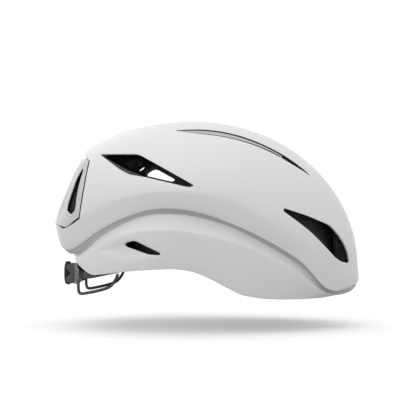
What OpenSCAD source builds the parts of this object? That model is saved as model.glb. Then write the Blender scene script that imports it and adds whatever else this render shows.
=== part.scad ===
// Aero road helmet: a smooth two-piece shell over a foam liner in two layers that slide on each
// other, with comfort pads, webbing and a head cradle that a dial tightens.
// The origin is the centre of the head. +X looks ahead, +Y is the wearer's left and +Z is up.

/* [Shell] */
// Half width of the shell at its crease, the widest line
shell_half_w = 105.5; // [103:0.5:112]
// Reach of the nose ahead of the head centre
nose_reach = 135.5; // [132:0.5:142]
// Reach of the tail behind the head centre
tail_reach = 154; // [151:0.5:160]
// Height of the crown above the head centre
crown_h = 128.4; // [126:0.2:136]
// Fullness of the sides above the crease, lower is fuller
side_round = 0.6; // [0.5:0.01:0.7]
// Wall of both shells
shell_wall = 1.5; // [1.2:0.1:2]
// Width of the lip that the upper shell turns in over the lower shell
lip_w = 3; // [2.4:0.1:3.6]
// Height of the blunt rear edge of the upper shell
tail_edge_h = 8.3; // [5:0.1:10]

/* [Vents] */
// Width of the slots beside the crown
slot_w = 11; // [9:0.1:12]
// Depth of the slot trays' faces below the shell's face
slot_depth = 0.9; // [0.8:0.1:2]
// Thickness of the slot trays
slot_floor = 1.8; // [1.2:0.1:2]
// Ribs across each slot tray
slot_ribs = 9; // [3:1:12]
// Wall of the rear vent frame
vent_frame_wall = 2; // [1.5:0.1:3]

/* [Liner] */
// Half length of the head space
head_half_l = 101; // [97:0.5:102]
// Half width of the head space
head_half_w = 81; // [77:0.5:82]
// Height of the head space above the head centre
head_h = 100; // [97:0.5:102]
// Thickness of the inner liner at the sides
inner_liner_wall = 7.5; // [6:0.5:8]
// Thickness of the inner liner along the middle
inner_liner_mid = 11; // [9:0.5:12]
// Sliding gap between the two liner layers
slide_gap = 1.2; // [1:0.1:1.5]
// Gap between a shell and the liner bonded behind it
bond_gap = 0.4; // [0.3:0.05:0.6]
// Radius of the short tethers between the layers
tether_r = 2; // [1.5:0.25:3]

/* [Pads] */
// Thickness of the brow pad at its crown
brow_pad_t = 6; // [4:0.5:7]
// Thickness of the other pads at their crown
pad_t = 5; // [3:0.5:6]
// Radius of the hook discs under the pads
disc_r = 8; // [5:0.5:10]
// Gap between a pad and what it lies on
pad_gap = 0.35; // [0.3:0.05:0.6]

/* [Head cradle] */
// Thickness of the cradle strip
strip_t = 1.8; // [1.4:0.1:2.4]
// Height of the cradle strip along the arms
strip_h = 7; // [5:0.5:8]
// Thickness of the two neck loops
loop_t = 3; // [2.4:0.1:3.6]
// Radius of the dial
dial_r = 10.9; // [9:0.1:12]
// Height of the dial axis
dial_z = -16; // [-17:0.5:-15]
// Radius of the pinion on its pitch line
pinion_r = 4; // [3.5:0.1:4.5]
// Teeth on the pinion
pinion_teeth = 12; // [10:1:16]
// Curve radius of the racks round the back of the head
rack_r = 103; // [100:0.5:106]
// Thickness of a rack
rack_t = 1.6; // [1.2:0.1:2]
// Height of a rack
rack_h = 3; // [2.5:0.1:3.5]
// Radius of the temple pivot pins
pivot_r = 2.5; // [2:0.1:3]
// Running clearance round the pivot pins
pivot_clear = 0.05; // [0.02:0.01:0.1]

/* [Webbing] */
// Width of the webbing
web_w = 13; // [10:0.5:15]
// Thickness of the webbing
web_t = 1.2; // [1:0.1:1.6]
// Travel of the buckle insert until it is free
buckle_travel = 15; // [10:0.5:18]

/* [Hidden] */

white = [0.9, 0.9, 0.9];
pale_grey = [0.74, 0.74, 0.74];
foam_black = [0.09, 0.09, 0.1];
pad_grey = [0.16, 0.16, 0.18];
cradle_grey = [0.22, 0.22, 0.23];
grip_black = [0.08, 0.08, 0.08];
web_black = [0.06, 0.06, 0.07];

// Plan centre of the shell, and the point that its walls are measured towards
mid_x = -20;
shell_heart = [-15, 0, 25];
// Exponents of the plan outline ahead of and behind the plan centre
plan_front = 2;
plan_rear = 1.8;
// Points round a rail and rows up the dome
around = 56;
dome_rows = 8;
bowl_rows = 8;

// Height of each rail over x, from the tail to the nose
crease_z = [[-154, 33.5], [-148, 29], [-142, 27], [-132, 31.5], [-122, 38.5], [-108, 46.5],
    [-90, 53], [-60, 59.3], [-37, 60], [-15, 58], [12, 52.5], [38, 39.5], [65, 23.5],
    [93, 5], [113, -6.5], [129, -10.3], [135.5, -10.5]];
lip_top_z = [[-148.5, 10.6], [-142, 7.5], [-134, 8], [-122, 15], [-109, 24], [-86, 36],
    [-59, 44.6], [-37, 45.3], [-15, 41.8], [12, 32.8], [38, 21], [65, 5.5], [79, -5],
    [94, -21.5], [100, -26.5], [106, -29], [114, -29.3], [124, -27.5], [132, -24.5],
    [136.3, -22]];
lip_edge_z = [[-143.5, 5.8], [-136, 3.3], [-126, 6], [-105, 22], [-77, 36], [-59, 40.6],
    [-37, 41.2], [-15, 38], [12, 29.8], [38, 17.3], [66, 1.2], [80, -9.4], [94, -25],
    [102, -30.5], [108, -33], [114, -33.6], [124, -32], [131, -28.6], [134, -25.4]];
swage_z = [[-134, -0.5], [-119, 5], [-105, 14.5], [-86, 22], [-72, 25.4], [-59, 26.8],
    [-37, 26.6], [-15, 23.2], [12, 16.6], [29, 10.6], [47, 2.4], [65, -8], [80, -18],
    [94, -28.5], [109, -33.4], [124, -31.9], [131.5, -27.4]];
rim_z = [[-131.5, -3], [-121, -9.7], [-116, -12.7], [-111, -14.2], [-106, -13.8],
    [-81, -10.4], [-59, -8.6], [-41, -7.8], [-31, -8.4], [-20, -10.6], [-9.5, -14.8],
    [1, -20], [12, -26], [22, -30.6], [33, -33.2], [49, -35.1], [75, -35.8], [94, -35.4],
    [109, -34], [124, -32.2], [131, -27.7]];
inner_rim_z = [[-131.5, 4], [-121, 2], [-106, -1], [-81, -4.5], [-59, -5.5], [-41, -5.5],
    [-20, -8.5], [-9.5, -12.5], [1, -18], [12, -24], [22, -28.5], [33, -31], [49, -32.8],
    [75, -33.4], [94, -33], [109, -31.6], [124, -29], [131, -25]];
// Middle line of the rear vent frame, as height and distance ahead of the tail
tail_line = [[33.5, 0.4], [44, 3.6], [54, 7.4], [63, 11.4], [73, 15.6], [82, 19.8],
    [88, 23.6], [92.5, 28]];
// Upper and lower corner of the seam beside the rear vent frame, in x and z
seam_top = [-117.8, 90.4];
seam_foot = [-125.4, 37.2];
// Blunt rear edge of the upper shell over the frame, and the crease below the frame
edge_top = [-124.5, 101.9];
edge_foot = [-122.6, edge_top[1] - tail_edge_h];
frame_sill = [[-134, 30.6], [-142, 27], [-148, 29], [-155, 34], [-190, 34]];
seam_middle = [-121.4, 64];
seam_gap = 0.3;

// Side vents as seen from the side, in x and z
diamond = [[-107.4, 95.7], [-71, 94.5], [-19.3, 65.6], [-25, 64.4], [-78, 76.1],
    [-88, 81.6]];
diamond_inner = [[-68.9, 78.3], [-59.2, 84.8], [-34.9, 71.4], [-36.9, 69], [-68.9, 76]];
ear_slot = [[-82, 13.6], [-80, 15.3], [-73, 17.2], [-50, 6.2], [-50, 4.2], [-60, 4.8],
    [-80, 11.6]];
front_vent = [[59.6, 46.2], [82, 39.1], [102.9, 30.7], [107, 27.4], [113.7, 19.8],
    [119.1, 11.7], [121.8, 4.7], [123.6, -5.6], [114.4, -3.1], [108.8, 0.6], [103.5, 6.2],
    [93.7, 16.1], [73.5, 33.4], [59.6, 43.4]];
// Levels of y between which the side vents are cut
vent_cut = [20, 130];
crown_cut = [-1, 130];
ear_cut = [60, 130];
// Crown slots as x, y and share of the full width along the slot
slot_path = [[-37, 51.4, 0.15], [-17, 54.4, 0.9], [10, 54, 1], [36, 51, 0.8],
    [54, 48.2, 0.66], [70, 44.9, 0.53], [86, 39.6, 0.12]];
// Rear vent opening: corner centres as y and z, a point inside it and the corner radius
rear_port = [[32, 48], [33.4, 45.4], [46, 41.3], [49.8, 44.4], [49.4, 47.6], [39.1, 79],
    [37.6, 81.2], [36, 80.6], [31, 73.4]];
rear_port_middle = [39, 60];
rear_port_r = 2;

// Straight and curved lines

function leg(p, x, i = 0) = (i >= len(p) - 2 || x < p[i + 1][0]) ? i : leg(p, x, i + 1);
function tangent(p, i) =
    let(a = max(i - 1, 0), b = min(i + 1, len(p) - 1))
    (p[b][1] - p[a][1]) / (p[b][0] - p[a][0]);
function curve(p, x) =
    let(i = leg(p, x), w = p[i + 1][0] - p[i][0], t = min(1, max(0, (x - p[i][0]) / w)),
        m0 = tangent(p, i) * w, m1 = tangent(p, i + 1) * w, t2 = t * t, t3 = t2 * t)
    (2 * t3 - 3 * t2 + 1) * p[i][1] + (t3 - 2 * t2 + t) * m0
    + (3 * t2 - 2 * t3) * p[i + 1][1] + (t3 - t2) * m1;
function mix(a, b, t) = a + (b - a) * t;
function soft_step(a, b, x) = let(t = min(1, max(0, (x - a) / (b - a)))) t * t * (3 - 2 * t);
function path_point(p, s) =
    let(i = min(floor(s), len(p) - 2), t = s - i, a = p[max(i - 1, 0)], b = p[i],
        c = p[i + 1], d = p[min(i + 2, len(p) - 1)])
    b + t * (c - a) / 2 + t * t * (a - 2.5 * b + 2 * c - d / 2)
    + t * t * t * (1.5 * (b - c) + (d - a) / 2);
function smooth_path(p, steps) =
    [for (k = [0 : steps]) path_point(p, k * (len(p) - 1) / steps)];

// Solids from rings of points: between two poles, as a closed band and as a capped sweep

function wrap_faces(a, b, n) =
    [for (i = [0 : n - 1]) let(j = (i + 1) % n) each
        [[a + i, b + i, b + j], [a + i, b + j, a + j]]];
module between_poles(first, rings, last) {
    n = len(rings[0]);
    count = len(rings);
    points = concat([first], [for (r = rings) each r], [last]);
    faces = concat(
        [for (i = [0 : n - 1]) [0, 1 + i, 1 + (i + 1) % n]],
        [for (k = [0 : count - 2]) each wrap_faces(1 + k * n, 1 + (k + 1) * n, n)],
        [for (i = [0 : n - 1])
            [len(points) - 1, 1 + (count - 1) * n + (i + 1) % n, 1 + (count - 1) * n + i]]);
    polyhedron(points, [for (f = faces) [f[2], f[1], f[0]]], convexity = 10);
}
module closed_band(rings) {
    n = len(rings[0]);
    count = len(rings);
    points = [for (r = rings) each r];
    faces = [for (k = [0 : count - 1]) each wrap_faces(k * n, ((k + 1) % count) * n, n)];
    polyhedron(points, [for (f = faces) [f[2], f[1], f[0]]], convexity = 10);
}
module capped_sweep(rings) {
    n = len(rings[0]);
    count = len(rings);
    points = [for (r = rings) each r];
    faces = concat(
        [for (k = [0 : count - 2]) each wrap_faces(k * n, (k + 1) * n, n)],
        [for (i = [0 : n / 2 - 2]) each [[i, i + 1, n - 2 - i], [i, n - 2 - i, n - 1 - i]]],
        [for (i = [0 : n / 2 - 2]) let(a = (count - 1) * n + i, b = count * n - 1 - i) each
            [[a, b - 1, a + 1], [a, b, b - 1]]]);
    polyhedron(points, [for (f = faces) [f[2], f[1], f[0]]], convexity = 10);
}

// The shell's surface

function reach_at(t) = cos(t) >= 0 ? nose_reach - mid_x : tail_reach + mid_x;
function plan_power(t) = cos(t) >= 0 ? plan_front : plan_rear;
function signed_power(v, p) = sign(v) * pow(abs(v), p);
// Share of the reach and of the half width at angle t on the plan outline
function plan_unit(t) =
    [signed_power(cos(t), 2 / plan_power(t)), signed_power(sin(t), 2 / plan_power(t))];
function rail_height(z_list, u) =
    curve(z_list, u >= 0 ? mix(mid_x, z_list[len(z_list) - 1][0], u)
        : mix(mid_x, z_list[0][0], -u));
// A rail at angle t, drawn in from the crease by a share of the half width and by reach
function rail(z_list, t, side_in, nose_in, tail_in, tail_power = plan_rear) =
    let(p = cos(t) >= 0 ? plan_front : tail_power,
        r = reach_at(t) - (cos(t) >= 0 ? nose_in : tail_in),
        c = [signed_power(cos(t), 2 / p), signed_power(sin(t), 2 / p)])
    [mid_x + r * c[0], (shell_half_w - side_in) * c[1], rail_height(z_list, c[0])];
function half_width_at(x) =
    let(front = x >= mid_x, r = front ? nose_reach - mid_x : tail_reach + mid_x,
        p = front ? plan_front : plan_rear, u = min(1, abs(x - mid_x) / r))
    shell_half_w * pow(1 - pow(u, p), 1 / p);
function share_at(x) =
    x >= mid_x ? min(1, (x - mid_x) / (nose_reach - mid_x))
        : max(-1, (x - mid_x) / (tail_reach + mid_x));
function middle_z(x) =
    let(u = share_at(x), foot = rail_height(crease_z, u >= 0 ? 1 : -1))
    foot + (crown_h - foot) * pow(1 - u * u, u >= 0 ? 0.5 : 0.36);
function dome_z(x, y) =
    let(w = half_width_at(x), q = w > 0.01 ? min(1, abs(y) / w) : 1,
        foot = rail_height(crease_z, share_at(x)))
    foot + (middle_z(x) - foot) * pow(1 - q * q, side_round);
function dome_y(x, z) =
    let(foot = rail_height(crease_z, share_at(x)),
        f = min(1, max(0, (z - foot) / (middle_z(x) - foot))))
    half_width_at(x) * sqrt(1 - pow(f, 1 / side_round));
function dome(t, s) =
    let(c = plan_unit(t), x = mid_x + s * reach_at(t) * c[0], y = s * shell_half_w * c[1])
    [x, y, dome_z(x, y)];
function crease(t) = rail(crease_z, t, 0, 0, 0);
function lip_top(t) = rail(lip_top_z, t, 4, -0.8, 5.5);
function lip_edge(t) = rail(lip_edge_z, t, 7, 1.5, 10.5, 1.9);
function swage(t) = rail(swage_z, t, 4.5, 4, 20, 2.3);
function rim(t) = rail(rim_z, t, 11, 4.5, 21, 2.6);
function inner_rim_height(t) = rail(inner_rim_z, t, 11, 4.5, 21, 2.6)[2];
function inward(p, d) = let(v = p - shell_heart) p - v * (d / norm(v));
function ring(n, f) = [for (i = [0 : n - 1]) f(i * 360 / n)];
function dome_rings(n, rows, d) =
    [for (k = [1 : rows]) ring(n, function(t) inward(dome(t, sin(90 * k / rows)), d))];
crown = [mid_x, 0, crown_h];
wall = shell_wall * 1.2;

// The upper shell, from its crown to the lip, without its vents
module upper_skin() {
    between_poles(crown, concat(
        dome_rings(around, dome_rows, 0),
        [ring(around, function(t) inward((crease(t) + lip_top(t)) / 2, -0.5)),
         ring(around, function(t) lip_top(t)),
         ring(around, function(t) lip_edge(t)),
         ring(around, function(t) inward(lip_edge(t), lip_w)),
         ring(around, function(t) inward(lip_top(t), lip_w))],
        [for (k = [dome_rows : -1 : 1])
            ring(around, function(t) inward(dome(t, sin(90 * k / dome_rows)), wall))]),
        inward(crown, wall));
}
module dome_solid(d) {
    between_poles(inward(crown, d), concat(dome_rings(around, dome_rows, d),
        [ring(around, function(t) [crease(t)[0] * 0.5, crease(t)[1] * 0.5, 20])]),
        [0, 0, 20]);
}
module through_side(points, y, r) {
    for (side = [-1, 1])
        translate([0, side > 0 ? y[1] : -y[0], 0])
            rotate([90, 0, 0])
                linear_extrude(height = y[1] - y[0])
                    offset(r = r) offset(delta = -r)
                        polygon(points);
}
// Takes the crown slots away from above down to a depth, between two points of their path
module slot_cut(extra, below, first, last) {
    above = 20;
    for (side = [-1, 1], i = [first : last - 1])
        hull()
            for (p = [slot_path[i], slot_path[i + 1]])
                translate([p[0], side * p[1], dome_z(p[0], p[1]) - below])
                    cylinder(r = slot_w / 2 * p[2] + extra, h = below + above, $fn = 16);
}
// Takes away what lies behind the seam and the blunt edge, down to the sill
module tail_cut(forward, up) {
    top = 125;
    seam = [[edge_top[0], top], edge_top, edge_foot, seam_top, seam_middle, seam_foot];
    sill = [for (p = frame_sill) [p[0], p[1] + up]];
    across(concat([for (p = seam) [p[0] + forward, p[1] + (p == seam_foot ? up : 0)]], sill,
        [[sill[len(sill) - 1][0], top]]));
}
// A side outline extruded over the whole width
module across(points) {
    translate([0, shell_half_w, 0])
        rotate([90, 0, 0])
            linear_extrude(height = 2 * shell_half_w)
                polygon(points);
}
// The blunt edge over the frame is filled by a flange that reaches this far ahead and up
flange_t = 1.9;
flange_up = 8.5;
flange_in = 0.1;
module upper_shell() {
    color(white)
        union() {
            difference() {
                upper_skin();
                tail_cut(0, 0);
                through_side(diamond, vent_cut, 2);
                through_side(front_vent, vent_cut, 1.5);
                slot_cut(0, crown_h / 5, 0, len(slot_path) - 1);
            }
            intersection() {
                dome_solid(flange_in);
                across([edge_foot + [flange_in + flange_t, 2 * flange_in],
                    edge_foot + [flange_in, 2 * flange_in], edge_top + [flange_in, 0],
                    edge_top + [-flange_t + 2 * flange_in, flange_up],
                    edge_top + [flange_in * 5, flange_up]]);
            }
        }
}

// The lower shell starts behind the lip, flares out to its swage and falls to the rim
neck_in = 2.5;
neck_up = 1;
cove_in = 0.8;
side_out = 0.6;
function lower_top(t) = inward(lip_top(t), lip_w + neck_in) + [0, 0, neck_up];
function lower_neck(t) = inward(lip_edge(t), lip_w + bond_gap);
function lower_cove(t) = inward(mix(lower_neck(t), swage(t), 0.5), cove_in);
function lower_side(t) = inward(mix(swage(t), rim(t), 0.5), -side_out);
module lower_shell() {
    color(white)
        difference() {
            closed_band([
                for (f = [function(t) lower_top(t), function(t) lower_neck(t),
                    function(t) lower_cove(t), function(t) swage(t),
                    function(t) lower_side(t), function(t) rim(t),
                    function(t) inward(rim(t), wall), function(t) inward(swage(t), wall),
                    function(t) inward(lower_neck(t), wall),
                    function(t) inward(lower_top(t), wall)])
                    ring(around, f)]);
            through_side(ear_slot, ear_cut, 1);
        }
}

// The rear vent frame is ruled between the crease and the tail edge, with a raised keel.
// Share of the depth that the keel falls away by, over these shares of the half width
keel_step = 0.12;
keel_side = [0.12, 0.36];
keel_power = 1.9;
// The top edge stays level with the tail edge, and bends forward only near the seams
top_power = 4;
// The sill dips between the keel and the seam, most at this share of the half width
sill_dip = 7.8;
dip_at = 0.7;
function frame_point(s, h) =
    let(side = abs(s), z0 = tail_line[0][0], z1 = tail_line[len(tail_line) - 1][0],
        seam_x = mix(seam_foot[0], seam_top[0], h), seam_z = mix(seam_foot[1], seam_top[1], h),
        y = sign(s) * dome_y(seam_x, seam_z) * side,
        plan_x = mid_x - (tail_reach + mid_x)
            * pow(1 - pow(min(1, abs(y) / shell_half_w), plan_rear), 1 / plan_rear),
        foot_share = (plan_x + tail_reach) / (seam_foot[0] + tail_reach),
        keel = keel_step * soft_step(keel_side[0], keel_side[1], side)
            + (1 - keel_step) * pow(side, keel_power),
        face_share = mix(min(1, foot_share), keel, soft_step(0, 0.25, h)),
        share = mix(face_share, pow(side, top_power), soft_step(0.8, 1, h)),
        z = mix(mix(z0, z1, h), seam_z, side * side)
            - sill_dip * pow(1 - h, 4)
                * (side < dip_at ? side / dip_at : (1 - side) / (1 - dip_at)))
    [mix(curve(tail_line, mix(z0, z1, h)) - tail_reach, seam_x - seam_gap, share), y, z];
module rear_vent_frame() {
    columns = 20;
    rows = 7;
    edge = 0.985;
    // The wall lies ahead of the face, and beside the seams inside it
    function face_row(h, d) =
        [for (i = [0 : columns])
            let(s = mix(-edge, edge, i / columns), turn = 90 * soft_step(0.72, edge, abs(s)))
            frame_point(s, h) + [cos(turn), -sign(s) * sin(turn), 0] * d];
    color(pale_grey)
        difference() {
            capped_sweep([for (k = [0 : rows])
                let(h = mix(1 - edge, edge, k / rows), back = face_row(h, vent_frame_wall))
                concat(face_row(h, 0), [for (i = [columns : -1 : 0]) back[i]])]);
            for (side = [-1, 1], i = [0 : len(rear_port) - 1])
                hull()
                    for (p = [rear_port[i], rear_port[(i + 1) % len(rear_port)],
                        rear_port_middle])
                        translate([-180, side * p[0], p[1]])
                            rotate([0, 90, 0])
                                cylinder(r = rear_port_r, h = 90, $fn = 12);
        }
}

// The trays stand in the crown slots with a gap beside them, and lean as the dome leans
tray_end = 4;
tray_gap = 0.9;
// The lower side of a slot shows a wider gap than its upper side, by this much
tray_low_gap = 1;
rib_turn = 25;
rib_w = 1;
rib_up = 0.5;
rib_sunk = 0.6;
module slot_tray(side) {
    path = smooth_path([for (i = [0 : tray_end]) slot_path[i]], 14);
    function half_w(p) = max(slot_w / 2 * p[2] - tray_gap, tray_gap / 2);
    function low_w(p) = max(half_w(p) - tray_low_gap, tray_gap / 4);
    function face(p, y) = [p[0], p[1] + y, dome_z(p[0], p[1] + y) - slot_depth];
    down = [0, 0, slot_floor];
    color(pale_grey)
        mirror([0, side > 0 ? 0 : 1, 0]) {
            capped_sweep([for (p = path)
                let(w = half_w(p), a = face(p, -w), b = face(p, low_w(p)))
                [a, b, b - down, a - down]]);
            for (k = [1 : slot_ribs]) {
                p = path_point(slot_path, mix(1, tray_end - 1, k / (slot_ribs + 1)));
                w = half_w(p) - rib_w;
                low = low_w(p) - rib_w;
                a = face(p, -w);
                b = face(p, low);
                translate(a)
                    rotate([atan2(b[2] - a[2], w + low), 0, 0])
                        rotate([0, 0, rib_turn])
                            translate([0, 0, -rib_sunk])
                                cube([rib_w, (w + low) * cos(rib_turn), rib_sunk + rib_up]);
            }
        }
}

// The liner layers meet on a surface that is round about the left to right axis
outer_bowl = [head_half_l + inner_liner_mid + slide_gap,
    head_half_w + inner_liner_wall + slide_gap, head_half_l + inner_liner_mid + slide_gap];
inner_bowl = outer_bowl - [slide_gap, slide_gap, slide_gap];
head_bowl = [head_half_l, head_half_w, head_h];
// Facets of the head space keep outside its true surface by this share
facet_spare = 1.01;
function bowl_point(t, f, bowl, foot) =
    let(r = rim(t), d = [r[0], r[1]] / norm([r[0], r[1]]),
        lift = mix(asin(foot / bowl[2]), 90, f))
    concat(d * (cos(lift) / norm([d[0] / bowl[0], d[1] / bowl[1]])), [bowl[2] * sin(lift)]);
function bowl_rings(n, rows, bowl, foot_of) =
    [for (k = [rows - 1 : -1 : 0])
        ring(n, function(t) bowl_point(t, k / rows, bowl, foot_of(t)))];
function reversed(list) = [for (i = [len(list) - 1 : -1 : 0]) list[i]];
liner_in = wall + bond_gap;
skirt_in = liner_in + 0.8;
frame_space = 3.2;
air_slot_in = 22;
// The seat of a tray clears the low side of its leaning floor
tray_in = slot_depth + slot_floor + slot_w * 0.27;
skirt_up = 1.2;

module outer_liner() {
    function foot(t) = rim(t)[2] + skirt_up;
    color(foam_black)
        difference() {
            between_poles(inward(crown, liner_in), concat(
                dome_rings(around, dome_rows, liner_in),
                [ring(around, function(t) inward(lower_top(t), skirt_in)),
                 ring(around, function(t) inward(lower_neck(t), skirt_in)),
                 ring(around, function(t) inward(swage(t), skirt_in)),
                 ring(around, function(t) inward(rim(t), skirt_in) + [0, 0, skirt_up / 2])],
                reversed(bowl_rings(around, bowl_rows, outer_bowl, function(t) foot(t)))),
                [0, 0, outer_bowl[2]]);
            tail_cut(vent_frame_wall + frame_space, 0);
            through_side(diamond, vent_cut, 3);
            through_side(front_vent, vent_cut, 2);
            through_side(ear_slot, ear_cut, 1);
            slot_cut(tray_gap - bond_gap, tray_in, 0, tray_end);
            slot_cut(bond_gap, air_slot_in, tray_end, len(slot_path) - 1);
            rear_duct(outer_bowl[0] + 60);
            tether_seats();
        }
}
// A round channel between two places, given as x, y, z and radius, and its mirror image
module duct(a, b) {
    for (side = [-1, 1])
        hull()
            for (p = [a, b])
                translate([p[0], side * p[1], p[2]])
                    sphere(r = p[3], $fn = 12);
}
module rear_duct(reach) {
    duct([-reach, 41, 58, 15], [-62, 32, 50, 9]);
}

// Pins of the tethers stand on the outer layer and reach into slots of the inner layer
tether_dirs = [[28, 24], [28, -24], [140, 27], [140, -27]];
function pitch_dir(pitch, lean) =
    [cos(lean) * cos(pitch), sin(lean), cos(lean) * sin(pitch)];
module along(dir) {
    rotate([0, acos(dir[2]), atan2(dir[1], dir[0])])
        children();
}
function bowl_reach(dir, bowl) = 1 / norm([for (i = [0 : 2]) dir[i] / bowl[i]]);
tether_reach = 5;
tether_sunk = 3;
tether_base_r = tether_r + 2.5;
tether_base_t = 1.6;
module tether_post(spare, sides) {
    for (a = tether_dirs) {
        dir = pitch_dir(a[0], a[1]);
        along(dir)
            translate([0, 0, bowl_reach(dir, outer_bowl)]) {
                translate([0, 0, -slide_gap - tether_reach])
                    cylinder(r = tether_r + spare, h = slide_gap + tether_reach + tether_sunk,
                        $fn = sides);
                translate([0, 0, tether_sunk - spare])
                    cylinder(r = tether_base_r + spare, h = tether_base_t + 2 * spare,
                        $fn = sides);
            }
    }
}
module tether_posts() {
    color(web_black)
        tether_post(0, 32);
}
module tether_seats() {
    tether_post(0.3, 12);
}
// Slots long enough for the pins over the slip of the layers, in degrees, with some spare
liner_slip = 3;
slip_spare = 0.45;
tether_clear = 0.5;
module tether_slots() {
    for (a = tether_dirs)
        hull()
            for (turn = [-1, 1]) {
                dir = pitch_dir(a[0] + turn * (liner_slip + slip_spare), a[1]);
                along(dir)
                    translate([0, 0, bowl_reach(dir, inner_bowl) - tether_reach - tether_clear])
                        cylinder(r = tether_r + tether_clear, h = tether_reach + 3, $fn = 12);
            }
}

// Channels that carry air from the front vents in and from the crown out
air_ducts = [[[103, 50, 8, 7], [72, 34, 8, 6]], [[60, 44, 86, 6], [44, 34, 66, 6]],
    [[0, 46, 102, 6], [0, 34, 72, 6]]];
module air_channels() {
    for (d = air_ducts)
        duct(d[0], d[1]);
}
module inner_liner() {
    color(foam_black)
        difference() {
            between_poles([0, 0, inner_bowl[2]], concat(
                bowl_rings(around, bowl_rows, inner_bowl, function(t) inner_rim_height(t)),
                reversed(bowl_rings(around, bowl_rows, head_bowl * facet_spare,
                    function(t) inner_rim_height(t)))),
                [0, 0, head_bowl[2] * facet_spare]);
            through_side(diamond_inner, crown_cut, 2);
            tether_slots();
            air_channels();
            rear_duct(outer_bowl[0] + 10);
            disc_seats();
            hanger_sector(socket_in - 0.5, socket_out + 0.5, socket_w + 0.5,
                socket_arc + [-1, 1]);
            for (side = [-1, 1])
                translate([pivot_x, side * (anchor_y - 3), pivot_z])
                    rotate([side > 0 ? -90 : 90, 0, 0])
                        cylinder(r = anchor_r + seat_gap, h = anchor_t + 3 + seat_gap, $fn = 24);
        }
}

// A pad is a crowned cushion on the head bowl, its sides drawn in between its corners
function bowl_at(pitch, lean, d) =
    let(p = [for (i = [0 : 2]) head_bowl[i] * pitch_dir(pitch, lean)[i]],
        n = [for (i = [0 : 2]) p[i] / (head_bowl[i] * head_bowl[i])])
    p - n * (d / norm(n));
function pad_crown(u, v, seams) =
    let(edge = (1 - pow(u, 6)) * (1 - pow(v, 6)),
        seam = max([for (s = seams) exp(-pow((u - s) / 0.05, 2))]))
    sqrt(max(0, edge)) * (1 - 0.45 * seam);
module pad(pitch, lean, t, nu, nv, seams) {
    function at(i, j, k) =
        let(u = i / nu * 2 - 1, v = j / nv * 2 - 1,
            a = mix(lean[0], lean[1], 0.5 + 0.5 * u * (1 - 0.06 * (1 - v * v))),
            b = mix(pitch[0], pitch[1], 0.5 + 0.5 * v * (1 - 0.10 * (1 - u * u))))
        bowl_at(b, a, pad_gap + (k == 0 ? 0 : 0.4 + t * pad_crown(u, v, seams)));
    color(pad_grey)
        capped_sweep([for (i = [0 : nu])
            concat([for (j = [0 : nv]) at(i, j, 0)], [for (j = [nv : -1 : 0]) at(i, j, 1)])]);
}
brow_pitch = [14, 29];
brow_lean = [-46, 46];
rear_lean = [-22, 22];
crown_pitch = [62, 112];
side_pitch = [32, 58];
rear_pitch = [135, 152];
crown_lean = [6, 18];
side_lean = [38, 52];
// Room round a disc or an anchor that is seated in the foam
seat_gap = 0.3;
disc_t = 1;
disc_spots = [[21.5, 0], [21.5, 30], [21.5, -30], [72, 12], [72, -12], [102, 12], [102, -12],
    [45, 45], [45, -45], [143.5, 0]];
module disc_seats() {
    for (a = disc_spots)
        translate(bowl_at(a[0], a[1], 0))
            along(bowl_at(a[0], a[1], 0) - bowl_at(a[0], a[1], 1))
                translate([0, 0, -1.5 * disc_t])
                    cylinder(r = disc_r + seat_gap, h = 2.5 * disc_t + seat_gap, $fn = 16);
}
module pad_discs() {
    color(grip_black)
        for (a = disc_spots)
            translate(bowl_at(a[0], a[1], 0))
                along(bowl_at(a[0], a[1], 0) - bowl_at(a[0], a[1], 1))
                    cylinder(r = disc_r, h = disc_t, $fn = 32);
}

// The cradle turns about pins at the temples
pivot_x = 35;
pivot_z = -10;
anchor_r = 7;
anchor_t = 6.5;
clip_r = 5.6;
eye_t = strip_t + 1.6;
anchor_y = head_half_w * 0.934 - strip_t;
arm_gap = 0.4;
arm_y = anchor_y - arm_gap - strip_t / 2;
pin_head_t = 1.4;
pin_head_w = 1.6;
module temple_anchor(side) {
    color(cradle_grey)
        mirror([0, side > 0 ? 0 : 1, 0])
            translate([pivot_x, 0, pivot_z])
                rotate([-90, 0, 0]) {
                    translate([0, 0, anchor_y])
                        cylinder(r = anchor_r, h = anchor_t, $fn = 48);
                    translate([0, 0, anchor_y - eye_t - 1])
                        cylinder(r = pivot_r, h = eye_t + 1 + arm_gap, $fn = 48);
                    translate([0, 0, anchor_y - eye_t - 2])
                        cylinder(r = pivot_r + pin_head_w, h = pin_head_t, $fn = 48);
                }
}
// The strip follows the wall of the head bowl and leaves it below the rear rim
arm_route = [[29, 0.1, -9.2], [20, 0.2, -7.2], [8, 0, -4.5], [-20, 0, -1], [-48, 0, -1],
    [-68, 0.6, -4]];
arm_tail = [[-88, 43.5, -9.8], [-105, 43, -13.4], [-116, 42.3, -15.6], [-123.2, 41, -16]];
function arm_point(p) =
    let(w = head_half_w * sqrt(1 - pow(p[0] / head_half_l, 2) - pow(p[2] / head_h, 2)))
    [p[0], min(arm_y, w - 1.5 - strip_t) - p[1], p[2]];
arm_path = smooth_path(concat([for (p = arm_route) arm_point(p)], arm_tail), 22);
module arm(side) {
    n = len(arm_path);
    color(cradle_grey)
        mirror([0, side > 0 ? 0 : 1, 0])
            capped_sweep([for (k = [0 : n - 1])
                let(d = arm_path[min(k + 1, n - 1)] - arm_path[max(k - 1, 0)],
                    across = [-d[1], d[0], 0] / norm([d[0], d[1]]) * strip_t / 2,
                    up = [0, 0, strip_h / 2], p = arm_path[k])
                [p + across - up, p - across - up, p - across + up, p + across + up]]);
}
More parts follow.
